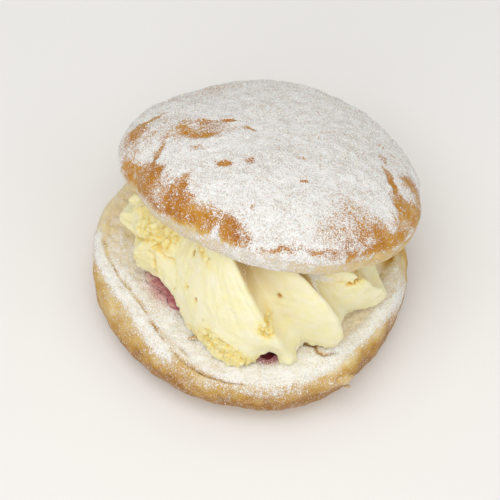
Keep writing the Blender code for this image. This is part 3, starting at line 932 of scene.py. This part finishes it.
PITS = (
    Spot(35.4, 44.4, 0.45, 1.0, 0.9),
    Spot(-20.6, 45.5, 0.7, 0.8, 1.0),
    Spot(-16.6, 36.6, 0.7, 0.6, 0.6),
    Spot(-7.8, 36.4, 0.5, 0.9, 0.7),
    Spot(-2.3, 31.7, 0.4, 0.4, 0.5),
    Spot(5.0, 40.0, 0.4, 0.4, 0.4),
    Spot(66.8, 43.4, 0.8, 0.9, 0.8),
    Spot(69.3, 45.0, 0.8, 0.9, 0.8),
)
DUSTED = (Spot(56, 46.5, 3.5, 1.6, 0.9), Spot(14, 50, 4, 3, 0.35), Spot(-8, 46, 5, 3, 0.25))
# The splits are lines of azimuths and heights.
SPLITS = (
    ((-68, 29), (-62, 32), (-54, 38), (-49.5, 40.8), (-46, 39.8), (-45.3, 36.6), (-42, 35.5),
     (-38.6, 35.8)),
    ((-38.6, 35.8), (-34, 36.3), (-30, 35.6), (-27.4, 30.6), (-27.0, 25.0)),
    ((-47.6, 35.0), (-45.6, 28.4), (-44.5, 22.0)),
    ((-60, 47), (-54, 44.5), (-50, 45.5), (-46, 43)),
    ((65.5, 42.4), (68.0, 44.4), (71.5, 46.0)),
)
TYPICAL_REACH = 32.0

# %% [markdown]
# The surface is a sum of reliefs: curds with cracks between them, bulges, splits, pits, a torn
# foot, and the fine lines and crinkles that the nozzle combed in. Modifiers could add each in
# turn, but sums on the same points keep them lined up and quick to change.

# %% Curds and the cracks between them
on_wall = (cream_rise >= 0) & (cream_rise <= 1)
ragged = sway(cream_rings, 3.0, 50)
bent = cream_rings + 0.9 * ragged
cream_out = np.hypot(cream_rings[..., 0], cream_rings[..., 1])
cream_turn = azimuth_of(cream_rings)
cream_degrees = np.degrees(cream_turn)
wavy_turn = cream_turn + 0.7 / TYPICAL_REACH * ragged[..., 0]
wavy_height = cream_rings[..., 2] + 0.7 * ragged[..., 1]
curd = np.clip(spot_sum(CURDLED, wavy_turn, wavy_height, TYPICAL_REACH), 0, 1)
big_near, big_wall = cells(bent, 2.3, 54)
small_near, small_wall = cells(bent, 1.15, 55)
fine_crack = np.maximum(smooth((0.20 - big_wall) / 0.18), 0.7 * smooth((0.16 - small_wall) / 0.14))
fine_lumps = 1.2 * (0.45 - big_near) + 0.6 * (0.45 - small_near)

# On the left the curds are larger chunks.
chunk_near, chunk_wall = cells(bent, 3.3, 68)
chunky = smooth((-24 - cream_degrees) / 14) * smooth((cream_degrees + 95) / 14)
chunks = 2.0 * (0.42 - chunk_near) + 0.3 * (0.45 - big_near)
# This mask cuts the cracks, and it also marks where shade is painted in them.
crack_and_shade = curd * mix(fine_crack, smooth((0.13 - chunk_wall) / 0.11), chunky)
crack_and_shade = crack_and_shade * smooth(0.7 + 1.1 * drift(cream_rings, 2.6, 62))
lumps_up = curd * (mix(fine_lumps, chunks, chunky) - 0.7 * crack_and_shade)
print("the cream has curdled over", round(float((curd > 0.5).mean()), 2), "of its skin")

# %% Splits, pits and bulges
unrolled = [[(math.radians(turn) * TYPICAL_REACH, height) for turn, height in line] for line in SPLITS]
gaps = [line_distance(line, wavy_turn * TYPICAL_REACH, wavy_height) for line in unrolled]
split_deep = bell(np.minimum.reduce(gaps) / 0.5) * (0.75 + 0.35 * drift(cream_rings, 2.0, 61))
pit = np.clip(spot_sum(PITS, cream_turn, cream_rings[..., 2], TYPICAL_REACH), 0, 1)
bulge = spot_sum(BULGES, cream_turn, cream_rings[..., 2], TYPICAL_REACH)
print("the cream has", len(SPLITS), "splits,", len(PITS), "pits and", len(BULGES), "bulges or hollows")

# %% The torn foot, and the lines and crinkles that the nozzle combed in
torn = 0.7 * drift(cream_rings, 1.9, 56) + 0.5 * drift(cream_rings, 0.9, 57)
torn = smooth((0.16 - cream_rise) / 0.16) * torn
# This noise changes quickly from column to column and slowly along each, as combing does.
dragged = triple(share * 40 + 13.0 * np.array(owners), cream_rise * 5.0, 0.3)
combing = 0.13 * drift(dragged, 1.0, 58) + 0.12 * drift(cream_rings, 1.2, 63)
crinkled = smooth(0.35 + 1.6 * drift(cream_rings, 8.0, 66)) * (1 - 0.5 * smooth((cream_rise - 0.5) / 0.3))
combing += 0.30 * crinkled * np.abs(drift(cream_rings * [1, 1, 0.6], 1.9, 67))
soft = 0.30 * drift(cream_rings, 7.0, 59) + 0.20 * drift(cream_rings, 2.6, 60)
bubbles = smooth((0.17 - cells(cream_rings, 2.8, 64)[0]) / 0.14) * smooth(drift(cream_rings, 9.0, 65) * 3)

# %% [markdown]
# A nozzle's tooth leaves a crisp crest and a deep side behind it. The skin is lifted along the
# crest, and shade is painted on the deep side: it gets a mark, which the finish turns into a
# warmer, darker colour.

# %% Sharpen the ridges, and mark the deep side of each for painted shade
after_crest = share * np.radians(there.foot - here.foot) * cream_out
from_crest = np.minimum(after_crest, (1 - share) * np.radians(there.foot - here.foot) * cream_out)
crispness = np.where(share < 0.5, here.crisp, there.crisp)
crest = 0.7 * crispness * np.exp(-from_crest / 1.1)
crest = crest * smooth(cream_rise / 0.12) * smooth((1.05 - cream_rise) / 0.2)
relief = lumps_up + bulge + crest - 1.5 * split_deep - 1.1 * pit + torn + combing + soft - 0.3 * bubbles
cream_rings = lift(cream_rings, relief * on_wall)
# Painted shade: the groove mark darkens the hollow behind each crest, most of all near the top, under the
# upper half.
beside = smooth(after_crest / 0.5) * np.exp(-after_crest / 4.2)
shade_deepens = 0.45 * smooth((cream_rise - 0.2) / 0.4) + 1.0 * smooth((cream_rise - 0.66) / 0.3)
groove = here.shaded * beside * shade_deepens

# %% Make the cream
# Painted shade: cracks, splits and pits are coloured deep yellow.
crack_shade_mark = np.clip(crack_and_shade + 0.9 * split_deep + 0.9 * pit, 0, 1)
# Painted shade: the middles of the deepest pits are coloured brown.
pit_shade = np.clip(1.6 * pit - 0.5, 0, 1)
dusted = spot_sum(DUSTED, wavy_turn, wavy_height, TYPICAL_REACH)
marks = {"crack_and_shade": crack_shade_mark, "pit_shade": pit_shade, "curd": curd, "groove": groove, "sugar": dusted}
cream = skin("cream_swirl", cream_rings, marks)
cream.data.transform(BASE_PLACE)

# %% [markdown]
# ## Sugar grains, curds and crumbs
# Sieved sugar clots into tiny lumps, the curdled cream sheds curds, and the cut leaves crumbs.
# Each kind is one mesh of many small uneven balls, pressed a little into what they lie on.
# Instances of one ball would be lighter, but then all of them would be alike.

# %% Many small lumps as one mesh
def lumps(name, middles, normals, sizes, rows, turns, flat, marks):
    """Uneven balls at these middles. Flat is how high they are for their width."""
    up = np.linspace(-0.5, 0.5, rows + 2)[1:-1, None] * math.pi
    body = around(np.cos(up), full_turn(turns), np.sin(up)).reshape(-1, 3)
    ball = np.concatenate([body, [(0, 0, -1), (0, 0, 1)]])
    walls, fans = ring_faces(rows, turns)
    faces = np.concatenate([walls[:, [0, 1, 2]], walls[:, [0, 2, 3]], fans])
    side = np.cross(normals, dice.normal(size=normals.shape))
    side /= np.linalg.norm(side, axis=1, keepdims=True)
    across = np.cross(normals, side)
    uneven = dice.uniform(0.75, 1.25, size=(len(middles), len(ball), 1))
    shape = ball * uneven * sizes[:, None, None] * [1, dice.uniform(0.7, 1.0), flat]
    axes = np.stack([side, across, normals], axis=1)
    points = (middles[:, None] + shape @ axes).reshape(-1, 3)
    every = faces + (np.arange(len(middles)) * len(ball))[:, None, None]
    flat_marks = {mark: np.full(len(points), value) for mark, value in marks.items()}
    made = mesh_object(name, points, every.reshape(-1, 3).tolist(), flat_marks)
    print(name, len(middles), "lumps")
    return made


def scatter(rings, weight, count):
    """Random points on a skin, and its normals there, more of them where the weight is larger."""
    along = np.linalg.norm(np.roll(rings, -1, axis=1) - rings, axis=-1)
    area = along * np.linalg.norm(np.gradient(rings, axis=0), axis=-1)
    odds = (area * weight).ravel()
    chosen = dice.choice(len(odds), size=count, p=odds / odds.sum())
    return rings.reshape(-1, 3)[chosen], outward(rings).reshape(-1, 3)[chosen]


# %% Sugar grains on both halves
def grains_on(name, rings, sugar, count):
    """Clotted grains on a half, more of them where the sugar lies thick."""
    spots, normals = scatter(rings, 0.015 + smooth((sugar - 0.25) / 0.6), count)
    sizes = 0.10 + 0.26 * dice.random(count) ** 3
    spots = spots + dice.normal(size=spots.shape) * 0.15
    return lumps(name, spots, normals, sizes, 2, 5, 0.8, {})


# The grains start just under the upper half's rim, and a third up the lower half's shoulder.
LID_ROW = 46
BASE_ROW = skipped + 12
LID_GRAINS = 6000
BASE_GRAINS = 3200
lid_grains = grains_on("sugar_on_upper", lid_rings[LID_ROW:], lid_sugar[LID_ROW:], LID_GRAINS)
lid_grains.data.transform(LID_PLACE)
shown = base_sugar[BASE_ROW:] * (base_reach[BASE_ROW:] > 30)
base_grains = grains_on("sugar_on_lower", base_rings[BASE_ROW:], shown, BASE_GRAINS)
base_grains.data.transform(BASE_PLACE)

# %% Curds that the cream shed
CURDS = 220
wall_rows = slice(below_wall, -above_wall)
curd_weight = np.where(on_wall, curd, 0)[wall_rows]
spots, normals = scatter(cream_rings[wall_rows], curd_weight**2, CURDS)
sizes = 0.18 + 0.42 * dice.random(CURDS) ** 2
curds = lumps("cream_curds", spots, normals, sizes, 4, 7, 0.6, {"curd": 1.0})
curds.data.transform(BASE_PLACE)


# %% [markdown]
# A scrap of cream was pressed out on the left. The cut left a torn flap of crust, with a crumb
# below it, at the front right, and a morsel of dough at the cream's foot. Each is one ball that is
# stretched along three axes and roughened, because that takes less than a sculpt of each.

# %% Single lumps of cream, crust and crumb
def lump(name, middle, axes, seed, marks):
    """One uneven ball, stretched along three axes and moved to its middle."""
    up = np.linspace(-0.47, 0.47, 22)[:, None] * math.pi
    ball = around(np.cos(up), full_turn(44), np.sin(up))
    ball = ball * (1 + 0.26 * drift(ball, 0.7, seed) + 0.09 * drift(ball, 0.3, seed + 1))[..., None]
    made = skin(name, ball @ np.array(axes) + middle, marks)
    made.data.transform(BASE_PLACE)
    return made


# The scrap stands out along the line of sight of the camera.
SIGHT = np.array((0.190, -0.511, 0.839))
SCRAP = np.array((-31.0, -8.2, 41.8)) + 2.0 * SIGHT
scrap = lump("cream_scrap", SCRAP, ((3.0, 1.1, 0.2), (0.4, -1.0, -1.6), SIGHT * 1.8), 71, {"curd": 0.3})
pale, brown = {"fry": 0.42, "sugar": 0.1}, {"fry": 0.7, "sugar": 0.3}
axes = ((1.9, 2.3, -0.7), (0.9, -0.7, 0.9), (0.5, -0.6, -1.2))
flap = lump("torn_crust", (41.4, -31.4, 17.2), axes, 73, pale)
axes = ((0.9, 0.3, 0), (0, -0.6, 0.3), (0, 0, 0.7))
crumb = lump("torn_crumb", (42.4, -30.2, 11.4), axes, 75, pale)
axes = ((1.5, 0.4, 0.3), (-0.3, -0.8, 0), (0, 0, 0.8))
morsel = lump("dough_morsel", (-4.4, -34.9, 19.3), axes, 77, brown)

# %% [markdown]
# ## Finishes
# A finish could be an image wrapped round the piece. Here it is a small net of shader nodes,
# which needs no image and stays sharp close up. One function adds a node of any kind, fills its
# inputs in order and hands back an output for the next node. Colours are written as sRGB hex, as
# on a paint card, and one function turns them linear.

# %% Tools for finishes
def linear(colour):
    """An sRGB hex colour as the linear colour that a shader takes."""
    parts = (int(colour[i : i + 2], 16) / 255 for i in (1, 3, 5))
    return (*(p / 12.92 if p <= 0.04045 else ((p + 0.055) / 1.055) ** 2.4 for p in parts), 1.0)


def add(tree, kind, *inputs, out=None, stops=(), **settings):
    """Adds a node. Its inputs in use get a value, a colour or a link each, in their order."""
    made = tree.nodes.new("ShaderNode" + kind)
    for setting, value in settings.items():
        setattr(made, setting, value)
    for index, (place, colour) in enumerate(stops):
        if index > 1:
            made.color_ramp.elements.new(place)
        made.color_ramp.elements[index].position = place
        made.color_ramp.elements[index].color = linear(colour)
    for socket, value in zip([s for s in made.inputs if s.enabled], inputs):
        if isinstance(value, bpy.types.NodeSocket):
            tree.links.new(value, socket)
        elif value is not None:
            socket.default_value = linear(value) if isinstance(value, str) else value
    return made.outputs[out] if out else next(s for s in made.outputs if s.enabled)


# Settings that come back often: a mix of colours, a sum of a product, and a soft step.
MIX = {"data_type": "RGBA"}
SUM = {"operation": "MULTIPLY_ADD"}
STEP = {"interpolation_type": "SMOOTHSTEP"}


def finish(name):
    """A new material, its tree, its main shader and the places on the piece."""
    made = bpy.data.materials.new(name)
    made.use_nodes = True
    tree = made.node_tree
    return made, tree, tree.nodes["Principled BSDF"], add(tree, "TexCoord", out="Object")


def wire(tree, shader, **inputs):
    """Sets or links inputs of the main shader. An underscore stands for a space in a name."""
    for socket, value in inputs.items():
        socket = shader.inputs[socket.replace("_", " ")]
        if isinstance(value, bpy.types.NodeSocket):
            tree.links.new(value, socket)
        else:
            socket.default_value = value


# %% [markdown]
# The bun is an enriched yeast dough, fried until golden brown. Frying leaves a thin skin with
# a film of fat, dull gold with darker blotches, and an open, pale crumb inside. Icing sugar was
# sieved over it. It scatters light evenly, so it looks dead white and has no shine.
# Real grains are a few hundredths of a millimetre. They are drawn ten times coarser, to show.
# Sugar could be a mesh of its own, but a thin layer is better as a colour that the mark fades.

# %% Fried dough with icing sugar
def fried_dough(name, stops, uneven, thin):
    """The finish of a half: its colours from pale to dark, how uneven they are, and thin sugar."""
    made, tree, shader, place = finish(name)
    marks = ("sugar", "fry", "stain", "inside")
    sugar, fry, stain, inside = (add(tree, "Attribute", out="Fac", attribute_name=mark) for mark in marks)
    patterns = ((0.38, 2), (0.5, 2), (0.8, 2), (1.3, 1), (1.5, 3), (3.5, 4))
    grains, motes, flecks, pores, clumps, blotches = (
        add(tree, "TexNoise", place, 1000 / size, detail) for size, detail in patterns
    )

    # The fried skin goes through its colours as it gets browner.
    # On the lower half the fry mark also paints shade: in the crack, in the fold and partly on the front.
    browned = -0.22 - uneven / 2
    for part, weight in ((fry, 1.0), (blotches, uneven), (clumps, 0.2), (flecks, 0.24)):
        browned = add(tree, "Math", part, weight, browned, **SUM)
    skin_colour = add(tree, "ValToRGB", browned, stops=stops)

    # The crumb has darker pores, and jam stains it pink and then dark red.
    pore = add(tree, "MapRange", pores, 0.30, 0.52, **STEP)
    crumb_colour = add(tree, "Mix", pore, "#dac8a4", "#ecdfc4", **MIX)
    dough = add(tree, "Mix", inside, skin_colour, crumb_colour, **MIX)
    stained = add(tree, "Math", clumps, 0.5, add(tree, "Math", stain, 1.0, -0.25, **SUM), **SUM)
    pink = add(tree, "MapRange", stained, 0.05, 0.9, **STEP)
    red = add(tree, "MapRange", stained, 0.95, 1.4, **STEP)
    dough = add(tree, "Mix", red, add(tree, "Mix", pink, dough, "#b5696f", **MIX), "#4a1219", **MIX)

    # The sugar thins out into single grains, and is greyer where it is thin.
    amount = -2.58
    for part, weight in ((sugar, 1.0), (grains, 3.8), (clumps, 1.4)):
        amount = add(tree, "Math", part, weight, amount, **SUM)
    cover = add(tree, "MapRange", amount, -0.1, 1.0, **STEP)
    thick = add(tree, "MapRange", amount, 0.3, 1.3, **STEP)
    white = add(tree, "Mix", thick, "#d2c4b8", "#f4f4f2", **MIX)
    faint = add(tree, "MapRange", add(tree, "Math", blotches, 0.5, motes, **SUM), 0.84, 0.50, **STEP)
    white = add(tree, "Mix", faint, white, thin, **MIX)
    white = add(tree, "Mix", add(tree, "MapRange", stain, 0.1, 1.1, **STEP), white, "#dba3a6", **MIX)

    rise = add(tree, "Math", clumps, 0.5, add(tree, "Math", grains, 0.7, 0.0, **SUM), **SUM)
    wire(tree, shader, Base_Color=add(tree, "Mix", cover, dough, white, **MIX))
    wire(tree, shader, Roughness=add(tree, "Math", cover, 0.42, 0.48, **SUM), Specular_IOR_Level=0.15)
    wire(tree, shader, Normal=add(tree, "Bump", 0.55, 0.0004, None, rise), IOR=1.45)
    wire(tree, shader, Subsurface_Weight=0.08, Subsurface_Scale=0.002, Subsurface_Radius=(1, 0.7, 0.4))
    print(name, "has", len(tree.nodes), "nodes")
    return made


UPPER_STOPS = ((0.0, "#e6d6a6"), (0.28, "#d8b66e"), (0.55, "#c78f2c"), (0.78, "#ba7a1a"), (1.0, "#a46218"))
LOWER_STOPS = ((0.0, "#e9dab2"), (0.3, "#dcc284"), (0.58, "#cba353"), (0.82, "#bb8b38"), (1.0, "#a06e29"))
lid.data.materials.append(fried_dough("fried_dough_upper", UPPER_STOPS, 0.7, "#cfc8c0"))
base_finish = fried_dough("fried_dough_lower", LOWER_STOPS, 0.8, "#e2d9c8")
for piece in (base, flap, crumb, morsel):
    piece.data.materials.append(base_finish)

# %% [markdown]
# The jam is raspberry, boiled with sugar to a thick syrup: dark, nearly clear and glossy. Where
# it soaked into the crumb and sugar fell on it, it is dull and dusty pink. It could be made like
# glass, but so thin a layer on crumb looks solid, and a solid colour with a gloss is quicker.

# %% Boiled raspberry jam
made, tree, shader, place = finish("boiled_raspberry_jam")
sugar, soaked = (add(tree, "Attribute", out="Fac", attribute_name=mark) for mark in ("sugar", "soaked"))
clots = add(tree, "TexNoise", place, 1000 / 1.8, 3)
grains = add(tree, "TexNoise", place, 1000 / 0.5, 2)
dusted = -0.6
for part, weight in ((sugar, 1.0), (grains, 0.8), (clots, 0.5)):
    dusted = add(tree, "Math", part, weight, dusted, **SUM)
dulled = add(tree, "Math", clots, 0.4, add(tree, "Math", soaked, 1.0, -0.2, **SUM), **SUM)
dulled = add(tree, "MapRange", dulled, 0.32, 0.8, **STEP)
lighter = add(tree, "MapRange", clots, 0.35, 0.68, **STEP)
wet = add(tree, "Mix", lighter, "#3a0c12", "#641a24", **MIX)
dull = add(tree, "Mix", lighter, "#ab5c66", "#c88084", **MIX)
colour = add(tree, "Mix", dulled, wet, dull, **MIX)
colour = add(tree, "Mix", add(tree, "MapRange", dusted, 0.15, 0.9, **STEP), colour, "#e3c3b6", **MIX)
wire(tree, shader, Base_Color=colour, Roughness=add(tree, "Math", dulled, 0.55, 0.14, **SUM), IOR=1.45)
wire(tree, shader, Normal=add(tree, "Bump", 0.5, 0.0005, None, clots))
wire(tree, shader, Subsurface_Weight=0.15, Subsurface_Scale=0.002)
jam.data.materials.append(made)
print(made.name, "has", len(tree.nodes), "nodes")

# %% [markdown]
# The filling is sweetened dairy cream, whipped until it holds a ridge. It is full of tiny
# bubbles, so it is satin rather than shiny, and light goes a little way into it and softens its
# edges. Shade is painted into it where it has split: deep yellow in the cracks, brown in the
# pits, and warm beige in the hollow behind each ridge. Marks on the points say where, so the
# colours follow the relief. Noise alone would put them beside it.

# %% Whipped cream
def whipped_cream(name, depth):
    """The finish of the cream. The depth is the share of light that goes into it."""
    made, tree, shader, place = finish(name)
    marks = ("curd", "groove", "crack_and_shade", "pit_shade", "sugar")
    curd, groove, crack_and_shade, pit_shade, sugar = (
        add(tree, "Attribute", out="Fac", attribute_name=mark) for mark in marks
    )
    patterns = ((0.4, 2), (0.7, 3), (1.4, 2), (4.0, 3))
    grains, bubbles, beads, swirls = (
        add(tree, "TexNoise", place, 1000 / size, detail) for size, detail in patterns
    )
    even = add(tree, "Mix", add(tree, "MapRange", swirls, 0.3, 0.7, **STEP), "#f5eebc", "#f7f1d0", **MIX)
    curdled = add(tree, "Mix", add(tree, "MapRange", beads, 0.35, 0.65, **STEP), "#f5e08c", "#faf0ba", **MIX)
    colour = add(tree, "Mix", curd, even, curdled, **MIX)
    # Painted shade: the groove mark turns the hollow behind each crest a warm beige.
    colour = add(tree, "Mix", groove, colour, "#c9ac72", **MIX)
    # Painted shade: cracks and splits turn deep yellow.
    crack_shade_here = add(tree, "Math", bubbles, 0.4, add(tree, "Math", crack_and_shade, 1.0, -0.2, **SUM), **SUM)
    colour = add(tree, "Mix", add(tree, "MapRange", crack_shade_here, 0.15, 1.0, **STEP), colour, "#f3cf66", **MIX)
    # Painted shade: the deepest pits turn brown.
    colour = add(tree, "Mix", pit_shade, colour, "#b9762a", **MIX)
    dusted = add(tree, "Math", grains, 2.4, add(tree, "Math", sugar, 1.0, -1.2, **SUM), **SUM)
    colour = add(tree, "Mix", add(tree, "MapRange", dusted, 0.35, 0.9, **STEP), colour, "#f4f2ec", **MIX)
    rise = add(tree, "Math", bubbles, 0.6, add(tree, "Math", swirls, 0.6, 0.0, **SUM), **SUM)
    wire(tree, shader, Base_Color=colour, Roughness=0.6, Specular_IOR_Level=0.25, IOR=1.4)
    wire(tree, shader, Normal=add(tree, "Bump", 0.45, 0.0004, None, rise))
    wire(tree, shader, Subsurface_Weight=depth, Subsurface_Scale=0.002, Subsurface_Radius=(1, 0.8, 0.45))
    print(name, "has", len(tree.nodes), "nodes")
    return made


cream_finish = whipped_cream("whipped_cream", 0.25)
cream.data.materials.append(cream_finish)
scrap.data.materials.append(cream_finish)
curds.data.materials.append(whipped_cream("split_cream_curd", 0.0))

# %% [markdown]
# Icing sugar that clots in damp air makes small lumps. They are matt and nearly pure white. One
# noise between two whites is enough, since each lump is less than a millimetre wide.

# %% Clotted icing sugar
made, tree, shader, place = finish("clotted_icing_sugar")
tint = add(tree, "TexNoise", place, 1000 / 1.2, 2)
wire(tree, shader, Base_Color=add(tree, "Mix", tint, "#edebe6", "#fbfaf8", **MIX), Roughness=0.9)
wire(tree, shader, Specular_IOR_Level=0.2, IOR=1.54, Subsurface_Weight=0.2, Subsurface_Scale=0.001)
lid_grains.data.materials.append(made)
base_grains.data.materials.append(made)

# %% [markdown]
# ## The pieces and the solids they stand for
# Each piece rides on the doughnut's one body, and the plain solid that it stands for is hidden.

# %% Put the pieces on the frame
for piece, node, slot in (
    (lid, "bun_lid", "bun_crust"),
    (base, "bun_base", "bun_crumb"),
    (jam, "jam_layer", "jam"),
    (cream, "cream_filling", "cream"),
    (curds, "cream_filling", "cream"),
    (scrap, "cream_filling", "cream"),
    (lid_grains, "bun_lid", "bun_crust"),
    (base_grains, "bun_base", "bun_crumb"),
    (flap, "bun_base", "bun_crumb"),
    (crumb, "bun_base", "bun_crumb"),
    (morsel, "bun_base", "bun_crumb"),
):
    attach(piece, "root")
    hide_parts(node)

# %% [markdown]
# ## The studio
# The doughnut lies on a plain pale sheet. The main soft lamp hangs almost straight above it, a
# weaker one fills in from the right, a low one lights the front, and the room adds an even glow.
# Area lamps are used, because the larger a lamp is, the softer its shadows are.

# %% The floor
made, tree, shader, place = finish("pale_sheet")
wire(tree, shader, Base_Color=linear("#f4f3f1"), Roughness=0.9)
SHEET_HALF = 900
corners = np.array([(-1, -1, 0), (1, -1, 0), (1, 1, 0), (-1, 1, 0)]) * SHEET_HALF
sheet = mesh_object("floor", corners, [(0, 1, 2, 3)], {})
sheet.data.materials.append(made)
sheet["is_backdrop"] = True


# %% The lamps
def hang(thing, aim, azimuth, elevation, far):
    """Places a lamp or a camera so that it looks at the aim. The angles are in degrees."""
    turn, up = math.radians(azimuth), math.radians(elevation)
    back = Vector((math.sin(turn) * math.cos(up), -math.cos(turn) * math.cos(up), math.sin(up)))
    thing.location = aim + back * far
    thing.rotation_euler = back.to_track_quat("Z", "Y").to_euler()
    bpy.context.scene.collection.objects.link(thing)


MIDDLE = Vector(BASE_CENTRE * MM) + Vector((0, 0, 0.03))
Lamp = namedtuple("Lamp", "name azimuth elevation far size power")
LAMPS = (
    Lamp("key", -14, 72, 0.75, 0.70, 2.8),
    Lamp("fill", 75, 45, 0.80, 0.60, 0.9),
    Lamp("low", 5, 24, 0.80, 0.50, 1.0),
)
for lamp in LAMPS:
    light = bpy.data.lights.new(lamp.name, "AREA")
    light.size = lamp.size
    light.energy = lamp.power
    hang(bpy.data.objects.new(lamp.name, light), MIDDLE, lamp.azimuth, lamp.elevation, lamp.far)
print("the studio has", len(LAMPS), "lamps")

# %% The room's own light
ROOM_LIGHT = 0.52
world = bpy.data.worlds.new("room")
world.use_nodes = True
walls = world.node_tree.nodes["Background"]
walls.inputs["Color"].default_value = linear("#f7f5f2")
walls.inputs["Strength"].default_value = ROOM_LIGHT
bpy.context.scene.world = world

# %% [markdown]
# ## The camera
# It looks down at the doughnut from the front, a little from the right. A long lens from farther
# away keeps the near and the far side at nearly the same scale.

# %% The camera
CAMERA_TURN = 20.39
CAMERA_UP = 57
CAMERA_FAR = 0.42
aim = Vector((BASE_CENTRE + [2.35, -5.22, 28.0]) * MM)
lens = bpy.data.cameras.new("camera")
lens.lens = 100.5
lens.sensor_width = 36
lens.clip_start = 0.01
camera = bpy.data.objects.new("camera", lens)
hang(camera, aim, CAMERA_TURN, CAMERA_UP, CAMERA_FAR)
bpy.context.scene.camera = camera
bpy.context.scene.view_settings.view_transform = "Standard"
print("the camera stands", round((camera.location - aim).length, 3), "m away")

# %% [markdown]
# The dressed doughnut must stay close to the box of its solids. The box of the dressed pieces
# is measured and printed, and both boxes are kept in one table.

# %% Measure the dressed pieces
dressed_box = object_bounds()
sizes = {"cad": [list(corner) for corner in solid_box], "visual": [list(corner) for corner in dressed_box]}
print("the dressed pieces fill", [[round(c * 1000, 1) for c in corner] for corner in dressed_box], "mm")
